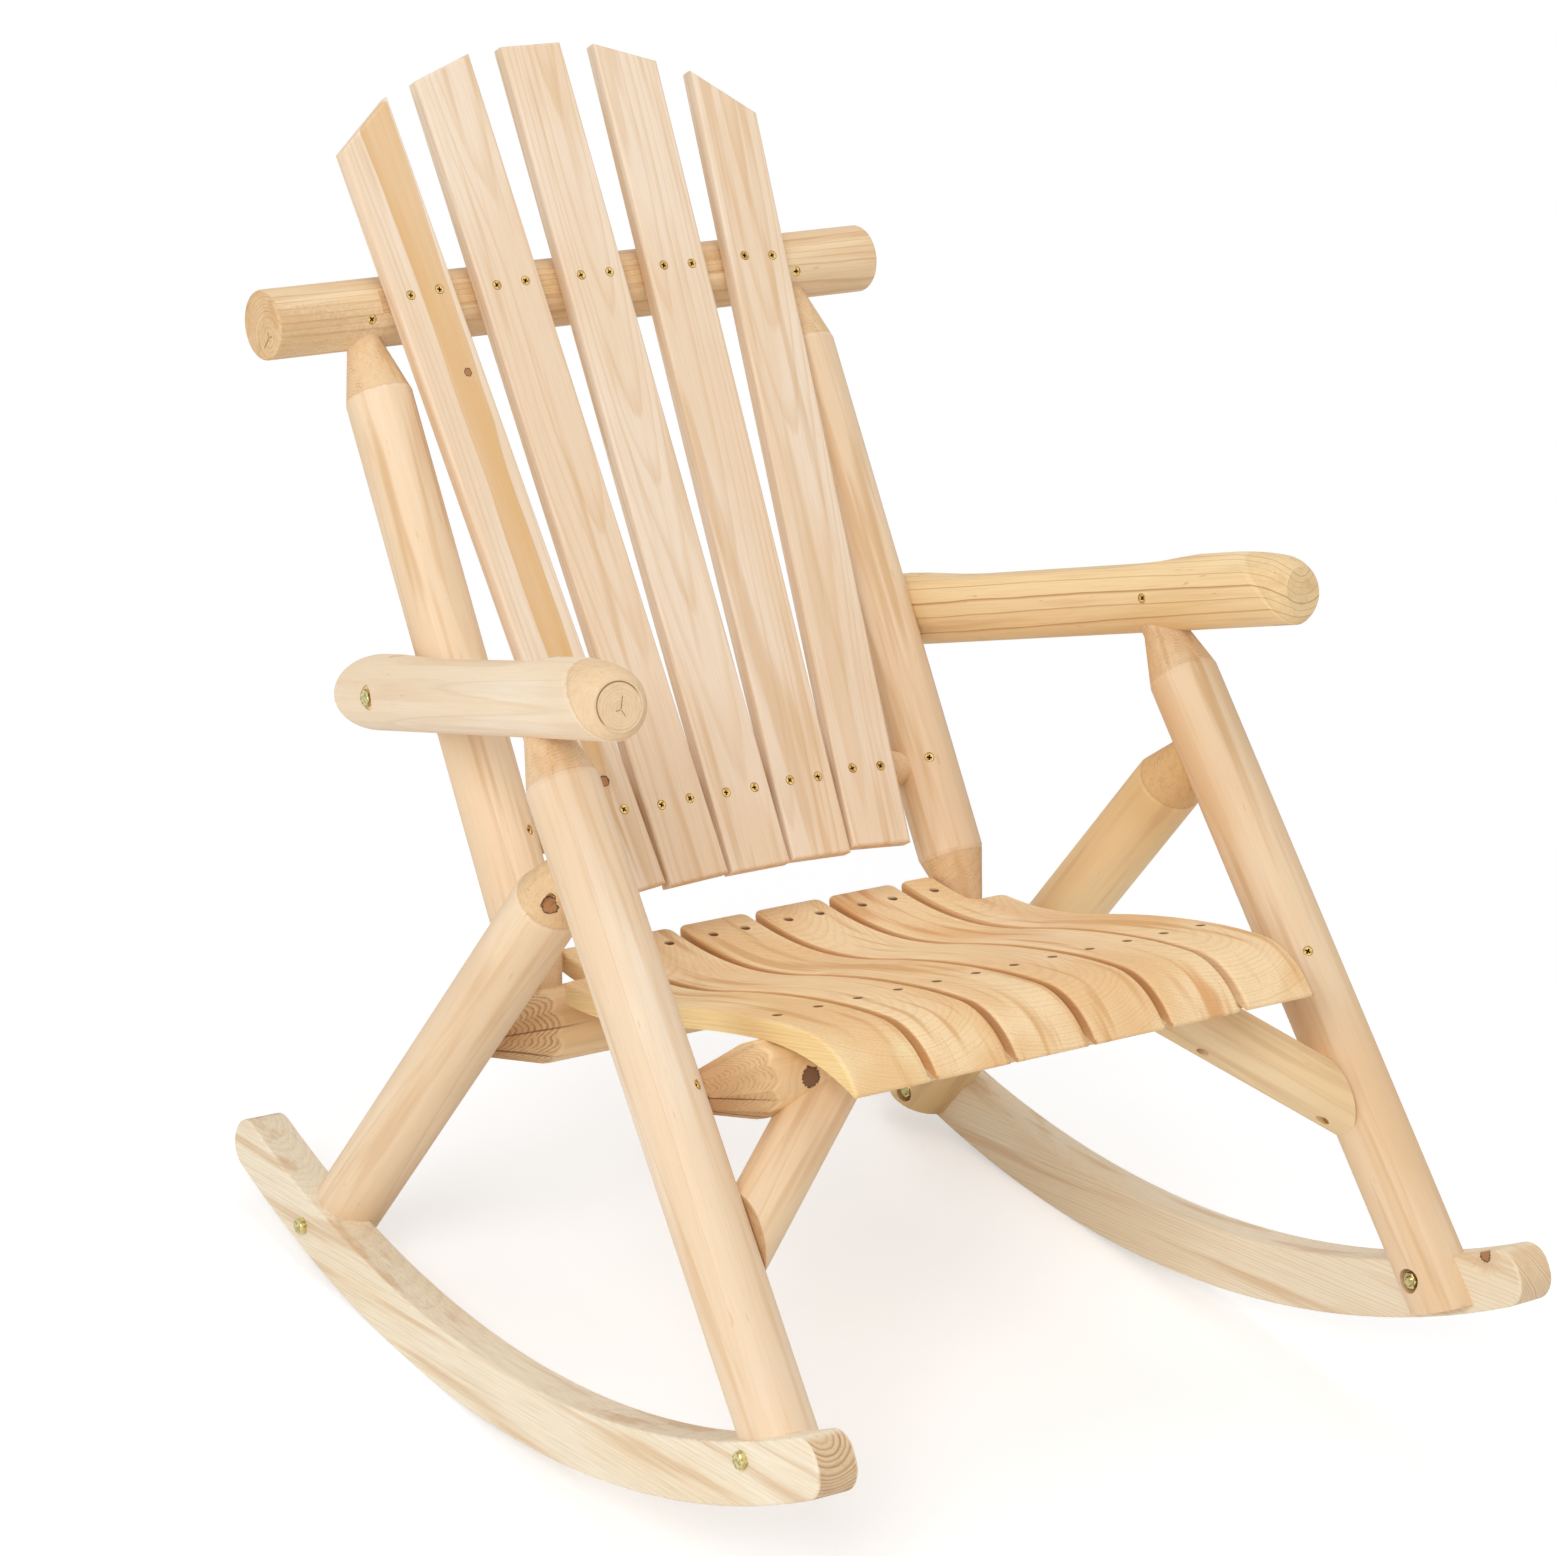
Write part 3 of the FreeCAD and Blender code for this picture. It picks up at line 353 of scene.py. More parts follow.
peeledLog = {
    # colours
    "pale": linear(240, 222, 199),
    "warm": linear(232, 203, 168),
    "late": linear(208, 168, 122),
    "stain": linear(214, 174, 128),
    "cut": linear(222, 182, 128),
    "torn": linear(168, 116, 70),
    "brown": linear(186, 130, 82),
    "end": linear(226, 184, 134),
    "heartColour": linear(222, 176, 114),
    # the painted shade of a slat's sides, where the next slat shades them; logs have none
    "sideShadeColour": (),
    "knotColour": linear(166, 110, 66),
    "knotRim": linear(70, 38, 20),
    "crackColour": linear(96, 60, 34),
    # the painted shade of the groove round an armrest's flat nose
    "grooveShadeColour": linear(112, 72, 42),
    # the painted shade on the walls of the seat's screw holes
    "holeShadeColour": linear(126, 82, 50),
    # growth rings: the dark part begins at ringEdge of a ring's width and is darkest at ringPeak
    "ringWidth": 0.0030,
    "ringEdge": 0.35,
    "ringPeak": 0.89,
    "uneven": 3.0,
    "ringShow": 0.10,
    # the pith line: its place across and through, or a point it passes, its lean and its wander
    "pith": (0.004, -0.003),
    "pithAt": (),
    "lean": (0.004, -0.003),
    "wander": 0.012,
    # cuts below the skin, from cutFrom before each end if that is set
    "cutShow": 0.50,
    "cutFrom": 0.0,
    "tearing": 0.40,
    "broken": (0.40, 0.66),
    "tornWidth": 0.0008,
    "tornWave": 1.5,
    "brownEnds": 0.0,
    # ends and sides: wrap is how far a rounded end reaches, side is half a board's width
    "endShow": 0.5,
    "wrap": 0.0,
    "side": 0.0,
    # marks: a crack is its direction in degrees, reach, width and depth; a groove is the middle
    # and radius of its circle of painted shade on an end; a knot is its place and radius; a hole is
    # a place whose wall gets painted shade; heart is the radius of the heartwood
    "cracks": (),
    "shadedGroove": (),
    "knots": (),
    "holes": (),
    "heart": 0.0,
    # the fine surface
    "streaks": 0.55,
    "streakSizes": (70, 70, 4.0),
    "fibre": 0.12,
    "flecks": 0.34,
    "facets": 0.55,
    "relief": 0.00045,
    "roughness": 0.52,
}

grainNoise = {
    # how often a pattern changes in a metre across, through and along the grain, then its own
    # shift, detail and roughness
    "sway": ((5, 5, 2.1), 0, 1.0, 0.5),
    "blotch": ((14, 14, 4.0), 11, 2.0, 0.5),
    "facet": ((34, 34, 1.7), 17, 0.0, 0.5),
    "ripple": ((60, 60, 9), 3, 2.0, 0.5),
    "patches": ((150, 150, 110), 13, 3.0, 0.65),
    "fleck": ((300, 300, 55), 5, 1.0, 0.5),
    "tear": ((420, 420, 300), 9, 2.0, 0.6),
    "fibre": ((900, 900, 20), 0, 3.0, 0.6),
}
streakShift = 7

edges = {
    # how many metres before a skin, an end, a side or the heart's rim a step begins and ends
    "skin": (0.0016, 0.0007),
    "end": (0.0012, 0.0006),
    "brownEnd": (0.09, 0.02),
    "grooveEnd": (0.004, 0.003),
    "sawnSide": (0.0012, 0.0004),
    "roundedSide": (0.0030, 0.0015),
    "heart": (0.0006, -0.0003),
}

wobble = {
    # how many metres the patterns move a ring or an edge, from one extreme to the other
    "ring": 0.0022,
    "cut": 0.0009,
    "brownEnd": 0.04,
    "heart": 0.004,
    "crack": 0.0008,
}

steps = {
    # where a pattern begins to show and where it shows in full
    "blotch": (0.40, 0.62),
    "facet": (0.47, 0.52),
    "stain": (0.52, 0.70),
    "fibre": (0.42, 0.72),
    "fleck": (0.74, 0.80),
    "tornRise": (0.35, 0.80),
    "tornFall": (0.86, 1.0),
}

strengths = {
    "warm": 0.75,
    "ridge": 1.4,
    "tornEdge": 1.6,
    "sawn": 0.7,
    "rounded": 0.75,
    "heartRim": 2.6,
    "crack": 0.75,
    "shadedGroove": 0.8,
    "knotNear": 0.35,
    "knotCore": 0.9,
    "knotRim": 3.8,
}

ringHabit = {"changes": 70, "spread": 0.65, "least": 0.35}
knotShares = {"core": (0.7, 1.05), "near": (0.8, 3.2), "ragged": 0.7, "push": 0.8}  # of its radius

# a crack's edge is a share of its width, its tip of its reach, its fade and bend of its depth
crackShares = {"edge": 0.4, "tip": 0.8, "fade": 0.5, "bend": 0.1}
crackStart = 0.0008  # metres from the pith
cutEase = 0.002  # metres over which a cut sets in after cutFrom

# metres from a groove's circle or a hole's middle at which its painted shade is full and gone
grooveLine = {"full": 0.0003, "gone": 0.0009, "slant": 1.4, "fades": (-0.004, 0.010, (1.0, 0.15))}
hole = {"full": 0.0046, "gone": 0.0054, "share": 0.9}

wrapFull = 0.55  # the share of wrap that is left where a rounded end shows in full
woodRelief = {"fibre": 0.5, "late": 0.35, "facet": 1.2, "torn": 2.4, "strength": 0.6}
woodGloss = {"fibre": 0.16, "cut": 0.18, "specular": 0.35}
falling = (1.0, 0.0)  # a step that goes down


class WoodShader(Shader):
    # The wood of one piece, with the places and patterns that its layers share. Growth rings are
    # the distance from a pith line that wanders; each ring goes slowly from pale early wood to
    # warm late wood and drops back sharply. A layer takes the colour so far and marks it.
    def __init__(self, material, look, centre, turn, radius, halfLength, shift):
        super().__init__(material)
        self.look = look
        self.radius = radius
        self.halfLength = halfLength
        self.shift = shift
        self.place = self.node("ShaderNodeTexCoord", output="Object")
        self.grain = self.node(
            "ShaderNodeMapping", {"vector_type": "TEXTURE"},
            {"Vector": self.place, "Location": centre, "Rotation": turn.to_euler()},
        )
        self.across, self.through, self.along = self.split(self.grain)
        self.fromMiddle = self.math("ABSOLUTE", self.along)
        self.fromCentre = self.math("ABSOLUTE", self.across)
        self.tear = self.pattern("tear")
        self.blotch = self.pattern("blotch")
        self.fibre = self.pattern("fibre")
        self.facet = self.ease(self.pattern("facet"), *steps["facet"])
        self.streak = self.noise(self.stretch(self.grain, look["streakSizes"], shift + streakShift))
        self.heartGap = self.pithDistance()
        self.pithGap = self.bendRoundKnots(self.heartGap)
        self.late = self.lateWood()
        self.cut = 0.0
        self.ends = self.past(self.fromMiddle, halfLength, edges["end"]) if halfLength else 0.0

    def pattern(self, name, output="Fac"):
        # one of the patterns above, at the piece's own shift
        sizes, shift, detail, roughness = grainNoise[name]
        place = self.stretch(self.grain, sizes, self.shift + shift)
        return self.noise(place, detail, roughness, output)

    def past(self, value, limit, edge, to=(0.0, 1.0)):
        # how far a value has come past an edge that lies before its limit
        return self.ease(value, limit - edge[0], limit - edge[1], to)

    def pithDistance(self):
        # the distance from the pith line, which has an offset, a lean and a slow wander
        pith, lean, wander = self.look["pith"], self.look["lean"], self.look["wander"]
        swayX, swayY, _ = self.split(self.pattern("sway", "Color"))
        self.x = self.across - pith[0] - self.along * lean[0] + (swayX - 0.5) * wander
        self.y = self.through - pith[1] - self.along * lean[1] + (swayY - 0.5) * wander
        rippled = (self.pattern("ripple") - 0.5) * wobble["ring"]
        return self.math("SQRT", self.x * self.x + self.y * self.y) + rippled

    def bendRoundKnots(self, pithGap):
        # knots push the rings aside; their cores and the wood near them get their colour later
        self.knotCore = self.knotNear = 0.0
        for spot, size in self.look["knots"]:
            ragged = (self.tear - 0.5) * size * knotShares["ragged"]
            gap = self.vector("DISTANCE", self.place, spot, output="Value") + ragged
            core = self.ease(gap, *(size * share for share in knotShares["core"]), falling)
            near = self.ease(gap, *(size * share for share in knotShares["near"]), falling)
            self.knotCore = self.math("MAXIMUM", core, self.knotCore)
            self.knotNear = self.math("MAXIMUM", near, self.knotNear)
            pithGap = pithGap + near * size * knotShares["push"]
        return pithGap

    def lateWood(self):
        # the dark part of each ring, no two rings of one width or strength
        edge, peak = self.look["ringEdge"], self.look["ringPeak"]
        drawn = self.pithGap * ringHabit["changes"]
        line = self.node("ShaderNodeCombineXYZ", {}, {0: drawn, 1: self.shift})
        uneven = self.noise(line, 1.0) * self.look["uneven"]
        rings = self.pithGap / self.look["ringWidth"] + uneven
        phase = self.math("FRACT", rings)
        late = self.ease(phase, edge, peak) * self.ease(phase, peak, 1.0, falling)
        number = {"W": self.math("FLOOR", rings)}
        strength = self.node("ShaderNodeTexWhiteNoise", {"noise_dimensions": "1D"}, number)
        return late * (strength * ringHabit["spread"] + ringHabit["least"])

    def skinTone(self):
        # pale and warm blotches, the long flats of the peeling knife, and stains along the grain
        look = self.look
        warm = self.ease(self.blotch, *steps["blotch"]) * strengths["warm"]
        colour = self.blend(warm, look["pale"], look["warm"])
        colour = self.blend(self.facet * look["facets"], colour, look["warm"])
        ridge = self.facet * (1 - self.facet) * look["facets"] * strengths["ridge"]
        colour = self.blend(ridge, colour, look["stain"])
        stained = self.ease(self.streak, *steps["stain"]) * look["streaks"]
        return self.blend(stained, colour, look["stain"])

    def cutTone(self, colour):
        # a cut below a log's round skin is browner and torn along its own finer rings
        look = self.look
        fromAxis = self.math("SQRT", self.across * self.across + self.through * self.through)
        ragged = fromAxis + (self.tear - 0.5) * wobble["cut"]
        self.cut = self.past(ragged, self.radius, edges["skin"], falling)
        if look["cutFrom"]:
            start = self.halfLength - look["cutFrom"]
            self.cut = self.cut * self.ease(self.fromMiddle, start, start + cutEase)
        wave = (self.tear - 0.5) * look["tornWave"]
        fine = self.math("FRACT", self.pithGap / look["tornWidth"] + wave)
        tornRing = self.ease(fine, *steps["tornRise"]) * self.ease(fine, *steps["tornFall"], falling)
        tornRing = tornRing * self.ease(self.pattern("patches"), *look["broken"])
        colour = self.blend(self.cut * look["cutShow"], colour, look["cut"])
        if look["brownEnds"]:
            mottled = self.fromMiddle + (self.blotch - 0.5) * wobble["brownEnd"]
            brown = self.past(mottled, self.halfLength, edges["brownEnd"])
            colour = self.blend(brown * look["brownEnds"], colour, look["brown"])
        colour = self.blend(self.cut * tornRing * look["tearing"], colour, look["torn"])
        tornEdge = self.cut * (1 - self.cut) * strengths["tornEdge"]
        return self.blend(tornEdge * look["cutShow"], colour, look["torn"])

    def sawnTone(self, colour):
        # the sawn sides of a slat get painted shade, the shade of the gap to the next slat
        sawn = self.past(self.fromCentre, self.look["side"], edges["sawnSide"])
        return self.blend(sawn * strengths["sawn"], colour, self.look["sideShadeColour"])

    def roundedTone(self, colour):
        # the rounded end of a plank, within its side faces
        wrap = self.look["wrap"]
        reached = self.past(self.fromMiddle, self.halfLength, (wrap, wrap * wrapFull))
        inside = self.past(self.fromCentre, self.look["side"], edges["roundedSide"], falling)
        self.ends = reached * inside
        return self.blend(self.ends * strengths["rounded"], colour, self.look["end"])

    def ringTone(self, colour):
        # the rings show more on an end than along the grain
        show = self.math("MAXIMUM", self.ends * self.look["endShow"], self.look["ringShow"])
        return self.blend(self.late * show, colour, self.look["late"])

    def heartTone(self, colour):
        # darker heartwood round the pith, with a ragged edge
        ragged = self.heartGap + (self.streak - 0.5) * wobble["heart"]
        inner = self.past(ragged, self.look["heart"], edges["heart"], falling)
        colour = self.blend(inner * (self.streak + 0.25), colour, self.look["heartColour"])
        rim = inner * (1 - inner) * strengths["heartRim"]
        return self.blend(rim, colour, self.look["late"])

    def crackTone(self, colour, degrees, reach, width, depth):
        # a drying crack runs from the pith towards the bark and a little way into the log
        lineX, lineY = math.sin(math.radians(degrees)), math.cos(math.radians(degrees))
        crooked = (self.tear - 0.5) * wobble["crack"]
        bent = (self.blotch - 0.5) * depth * crackShares["bend"]
        side = self.math("ABSOLUTE", self.x * lineX - self.y * lineY + crooked + bent)
        ahead = self.x * lineY + self.y * lineX
        inCrack = self.ease(side, width * crackShares["edge"], width, falling)
        inCrack = inCrack * self.ease(ahead, reach * crackShares["tip"], reach, falling)
        inCrack = inCrack * self.ease(ahead, 0.0, crackStart)
        fade = depth, depth * crackShares["fade"]
        inCrack = inCrack * self.past(self.fromMiddle, self.halfLength, fade)
        return self.blend(inCrack * strengths["crack"], colour, self.look["crackColour"])

    def grooveShadeTone(self, colour, grooveX, grooveY, grooveRadius):
        # the dark ring round the flat at an armrest's nose is the painted shade of a groove, darkest on
        # its upper outer side
        offX, offY = self.across - grooveX, self.through - grooveY
        fromRing = self.math("SQRT", offX * offX + offY * offY) - grooveRadius
        fromRing = self.math("ABSOLUTE", fromRing)
        grooveShade = self.ease(fromRing, grooveLine["full"], grooveLine["gone"], falling)
        slanted = offX + offY * grooveLine["slant"]
        grooveShade = grooveShade * self.ease(slanted, *grooveLine["fades"])
        grooveShade = grooveShade * self.past(self.fromMiddle, self.halfLength, edges["grooveEnd"])
        return self.blend(grooveShade * strengths["shadedGroove"], colour, self.look["grooveShadeColour"])

    def holeShadeTone(self, colour, spot):
        # the wall of a screw hole, deeper than the head that lies in it, darkened as painted shade
        gap = self.vector("DISTANCE", self.place, spot, output="Value")
        holeShade = self.ease(gap, hole["full"], hole["gone"], (hole["share"], 0.0))
        return self.blend(holeShade, colour, self.look["holeShadeColour"])

    def fibreTone(self, colour):
        # fine dark fibres and short flecks
        fleck = self.ease(self.pattern("fleck"), *steps["fleck"]) * self.look["flecks"]
        dark = self.ease(self.fibre, *steps["fibre"]) * self.look["fibre"] + fleck
        return self.blend(self.math("MINIMUM", dark, 1.0), colour, self.look["late"])

    def knotTone(self, colour):
        # a knot: stained wood round it, its core, and a dark rim between the two
        near, core = self.knotNear, self.knotCore
        colour = self.blend(near * strengths["knotNear"], colour, self.look["stain"])
        colour = self.blend(core * strengths["knotCore"], colour, self.look["knotColour"])
        rim = core * (1 - core) * strengths["knotRim"]
        return self.blend(rim, colour, self.look["knotRim"])

    def relief(self):
        # raised late wood and fibres, the flats of the knife, and the torn cuts
        height = self.fibre * woodRelief["fibre"] + self.late * woodRelief["late"]
        height = height + self.facet * woodRelief["facet"]
        height = height + self.cut * self.tear * woodRelief["torn"]
        return self.node("ShaderNodeBump", {}, {
            "Strength": woodRelief["strength"], "Distance": self.look["relief"], "Height": height,
        })

    def roughness(self):
        # fibres and cuts scatter the light more
        varied = (self.fibre - 0.5) * woodGloss["fibre"] + self.cut * woodGloss["cut"]
        return varied + self.look["roughness"]


def woodMaterial(name, look, centre, turn, radius, halfLength, shift):
    # the layers of one piece of wood, from the skin up
    material = bpy.data.materials.new(name)
    s = WoodShader(material, look, centre, turn, radius, halfLength, shift)
    colour = s.skinTone()
    if radius:
        colour = s.cutTone(colour)
    if look["sideShadeColour"]:
        colour = s.sawnTone(colour)
    if look["wrap"]:
        colour = s.roundedTone(colour)
    colour = s.ringTone(colour)
    if look["heart"]:
        colour = s.heartTone(colour)
    for crack in look["cracks"]:
        colour = s.crackTone(colour, *crack)
    if look["shadedGroove"]:
        colour = s.grooveShadeTone(colour, *look["shadedGroove"])
    for spot in look["holes"]:
        colour = s.holeShadeTone(colour, spot)
    colour = s.fibreTone(colour)
    if look["knots"]:
        colour = s.knotTone(colour)
    s.finish(s.node("ShaderNodeBsdfPrincipled", {}, {
        "Base Color": colour,
        "Roughness": s.roughness(),
        "Normal": s.relief(),
        "Specular IOR Level": woodGloss["specular"],
    }))
    return material


def setMaterial(node, material):
    for slot in node.material_slots:
        slot.material = material


def dressWood(name, family, changes, lines):
    # one piece's own wood: its family's look with this piece's changes, laid along its own lines
    centre, length, width, radius, halfLength = lines
    look = {**family, **changes}
    turn = grainTurn(length, width)
    if look["pithAt"]:
        look["pith"] = (turn.transposed() @ (Vector(look["pithAt"]) - centre))[:2]
    shift = sorted(nodes).index(name) * 1.7
    material = woodMaterial(name + "_wood", look, centre, turn, radius, halfLength, shift)
    setMaterial(nodes[name], material)


logs = {
    "front_leg_left": {
        "pale": linear(237, 209, 174), "warm": linear(229, 190, 145), "streaks": 0.9,
        "pith": (0.002, 0.006), "cutShow": 0.30,
    },
    "front_leg_right": {"pith": (-0.004, 0.003), "cutShow": 0.40},
    # this leg lies in shade: its colour is more orange than the other logs' as a painted warm shade
    "rear_leg_left": {"pale": linear(242, 213, 166), "warm": linear(232, 197, 142), "cutShow": 0.7},
    "rear_leg_right": {
        "pale": linear(242, 216, 182), "pith": (0.006, -0.005), "cutShow": 0.6,
        "knots": (((-0.3341, -0.0862, 0.4575), 0.0075),),
    },
    "front_brace_left": {
        "pale": linear(244, 217, 174), "warm": linear(236, 203, 154), "cutShow": 0.5,
    },
    "front_brace_right": {"pale": linear(240, 210, 172)},
    "back_post_left": {
        "pale": linear(240, 213, 180), "ringShow": 0.22, "ringEdge": 0.6, "streaks": 0.8,
    },
    "back_post_right": {"pale": linear(240, 213, 180), "streaks": 0.9},
    "front_seat_rail": {
        "pale": linear(252, 226, 182), "warm": linear(242, 206, 156),
        "torn": linear(132, 78, 42), "knotColour": linear(104, 58, 32),
        "ringShow": 0.34, "cutShow": 0.28, "brownEnds": 0.75,
        "tearing": 0.36, "broken": (0.30, 0.62), "tornWidth": 0.0012, "tornWave": 1.1,
        "cracks": (
            (200, 0.05, 0.0012, 0.13), (250, 0.05, 0.0010, 0.09), (160, 0.05, 0.0012, 0.10),
        ),
        "knots": (((-0.2088, -0.2794, 0.3722), 0.0088),),
    },
    "rear_seat_rail": {
        "pale": linear(240, 208, 162), "warm": linear(226, 186, 134), "torn": linear(130, 80, 44),
        "ringShow": 0.30, "cutShow": 0.35, "brownEnds": 0.75,
        "tearing": 0.60, "broken": (0.20, 0.55), "tornWidth": 0.0015, "tornWave": 0.6,
        "cracks": (
            (180, 0.05, 0.0012, 0.12), (230, 0.05, 0.0012, 0.10), (290, 0.05, 0.0010, 0.12),
        ),
    },
    "top_crossbar": {
        "pale": linear(238, 210, 170), "warm": linear(227, 191, 146), "late": linear(178, 124, 76),
        "ringWidth": 0.0040, "ringShow": 0.45, "ringEdge": 0.72, "endShow": 0.62,
        "pithAt": (-0.3105, 0.4291, 0.7515), "lean": (0.0, 0.0), "wander": 0.007,
        "streaks": 0.9, "flecks": 0.3,
        "cracks": (
            (150, 0.014, 0.0008, 0.001), (300, 0.006, 0.0007, 0.001), (40, 0.006, 0.0007, 0.001),
        ),
    },
    "lower_back_rail": {},
    "armrest_left": {
        "pale": linear(243, 216, 168), "warm": linear(235, 200, 146), "late": linear(178, 124, 74),
        "ringWidth": 0.0058, "ringShow": 0.85, "ringEdge": 0.84, "ringPeak": 0.854, "uneven": 1.2,
        "pith": (0.002, -0.020), "lean": (0.004, 0.012), "wander": 0.006,
        "cutFrom": 0.074, "cutShow": 0.25, "tearing": 0.20, "facets": 0.15,
    },
    "armrest_right": {
        "pale": linear(243, 226, 201), "warm": linear(239, 214, 181), "cut": linear(230, 194, 148),
        "ringShow": 0.12, "endShow": 0.35, "streaks": 0.25,
        "pith": (0.001, 0.0075), "lean": (0.0, 0.0), "wander": 0.001,
        "cutFrom": 0.074, "cutShow": 0.60, "tearing": 0.25,
        # a ring of painted groove shade round the flat of the nose
        "shadedGroove": (0.0, 0.0045, 0.0185),
        "cracks": (
            (285, 0.012, 0.0006, 0.001), (60, 0.007, 0.0005, 0.001), (170, 0.005, 0.0005, 0.001),
        ),
    },
}

for name, changes in logs.items():
    middle, axis, radius, halfLength = logLine(nodes[name])
    lines = Vector(middle), axis, (1, 0, 0.001), float(radius), float(halfLength)
    dressWood(name, peeledLog, changes, lines)

backBoard = {
    **peeledLog,
    "pale": linear(240, 220, 197),
    "warm": linear(235, 208, 177),
    "late": linear(214, 172, 120),
    "ringWidth": 0.0046,
    "ringEdge": 0.50,
    "ringShow": 0.42,
    "wander": 0.020,
    "flecks": 0.10,
    "fibre": 0.20,
    "facets": 0.0,
    "relief": 0.00018,
}

backSlats = {
    "back_slat_1": {
        "pith": (0.005, -0.041), "lean": (0.010, 0.010), "heart": 0.0352,
        "knots": (((-0.153, 0.3618, 0.7265), 0.0040), ((-0.131, 0.1381, 0.4385), 0.0050)),
    },
    "back_slat_2": {"pith": (0.012, -0.052), "lean": (-0.016, 0.030)},
    "back_slat_3": {"pith": (0.006, -0.045), "lean": (0.010, 0.040)},
    "back_slat_4": {"pith": (-0.022, -0.050), "lean": (0.020, 0.016)},
    "back_slat_5": {"pith": (-0.004, -0.042), "lean": (0.012, 0.028)},
}

for name, changes in backSlats.items():
    dressWood(name, backBoard, changes, (*map(Vector, boardLine(nodes[name])), 0.0, 0.0))

seatBoard = {
    **peeledLog,
    "pale": linear(247, 217, 172),
    "warm": linear(233, 188, 132),
    "late": linear(200, 150, 96),
    "stain": linear(214, 161, 100),
    "ringWidth": 0.0026,
    "ringShow": 0.24,
    "wander": 0.014,
    "streaks": 0.75,
    "streakSizes": (78, 9, 6.0),
    "side": 0.03525,
    # the slats' sides are painted brown as the shade of the gaps between them
    "sideShadeColour": linear(204, 148, 92),
    "flecks": 0.10,
    "fibre": 0.24,
    "facets": 0.0,
    "pith": (0.0, -0.140),
    "lean": (0.01, 0.01),
    "relief": 0.00022,
}

seatSlats = {
    "seat_slat_1": {
        # the first slat's outer side lies in the light, so its sides get a pale painted light in place
        # of the painted shade
        "pale": linear(246, 222, 174), "sideShadeColour": linear(246, 216, 152), "pith": (0.050, -0.130),
    },
    "seat_slat_2": {"pith": (-0.040, -0.120)},
    "seat_slat_3": {"pith": (0.020, -0.150), "lean": (0.01, -0.01)},
    "seat_slat_4": {"pith": (-0.030, -0.110)},
    "seat_slat_5": {"pith": (0.040, -0.090), "stain": linear(214, 148, 82)},
    "seat_slat_6": {"pith": (-0.020, -0.125)},
}

sunkHeads = []
for name in ("seat_screws_front", "seat_screws_rear"):
    for centre, axis, _, high, _ in map(lineOf, solidsOf(nodes[name])):
        sunkHeads.append(Vector(centre + axis * high))

for name, changes in seatSlats.items():
    centre, length, _ = boardLine(nodes[name])
    own = [head for head in sunkHeads if abs(head.x - centre[0]) < seatBoard["side"]]
    lines = Vector(centre), length, (1, 0, 0), 0.0, 0.0
    dressWood(name, seatBoard, {**changes, "holes": own}, lines)

# The rockers are sawn out of planks whose grain runs along the chord of the arc.
rockerPlank = {
    **peeledLog,
    "pale": linear(244, 231, 206),
    "warm": linear(239, 219, 186),
    "late": linear(206, 164, 118),
    "end": linear(214, 178, 134),
    "ringWidth": 0.0042,
    "ringShow": 0.12,
    "endShow": 0.85,
    "wrap": 0.026,
    "side": 0.0185,
    "wander": 0.010,
    "flecks": 0.08,
    "fibre": 0.20,
    "facets": 0.0,
    "pith": (0.020, -0.060),
    "lean": (0.0, 0.01),
}

rockers = {
    "rocker_left": {
        "end": linear(228, 198, 158), "ringWidth": 0.0024, "ringShow": 0.30,
        "pith": (0.160, -0.190), "knots": (((0.3331, -0.5038, 0.2066), 0.0065),),
    },
    "rocker_right": {
        "late": linear(166, 118, 74), "ringWidth": 0.0036,
        "pith": (-0.004, -0.112), "lean": (0.0, 0.0), "wander": 0.004,
    },
}

for name, changes in rockers.items():
    centre, length, _ = boardLine(nodes[name])
    along = (facesOf(nodes[name])[0] - centre) @ length
    centre = centre + length * (along.max() + along.min()) / 2
    lines = Vector(centre), length, (1, 0, 0), 0.0, float(np.ptp(along)) / 2
    dressWood(name, rockerPlank, changes, lines)
print("the wooden pieces have their wood")


def ringAt(turns, reach, height):
    # a ring of points round Z, whose reach and height may change from turn to turn
    return np.stack([np.cos(turns) * reach, np.sin(turns) * reach, turns * 0 + height], -1)


def surface(rings):
    # a closed skin from rings of points: the first and last ring shrink to one point each
    rows, columns = rings.shape[:2]
    body = rings[1:-1].reshape(-1, 3)
    points = np.vstack([rings[0].mean(axis=0), body, rings[-1].mean(axis=0)])
    row, column = np.meshgrid(np.arange(rows - 3), np.arange(columns), indexing="ij")
    ahead = (column + 1) % columns
    here = 1 + row * columns
    below = here + columns
    quads = np.stack([here + column, here + ahead, below + ahead, below + column], -1)
    turn = np.arange(columns)
    last = len(points) - 1
    first = np.stack([0 * turn, 1 + (turn + 1) % columns, 1 + turn], -1)
    ending = last - columns
    final = np.stack([0 * turn + last, ending + turn, ending + (turn + 1) % columns], -1)
    return points, quads.reshape(-1, 4).tolist() + first.tolist() + final.tolist()


def standing(centre, axis, points, twist):
    # points made round Z, turned by the twist and stood on a fastener's own line
    up = Vector(axis)
    side = up.orthogonal().normalized()
    frameOf = Matrix((side, up.cross(side), up)).transposed() @ Matrix.Rotation(twist, 3, "Z")
    return points @ np.array(frameOf).T + centre


sharpFrom = math.radians(32)  # an edge between faces at a larger angle stays sharp


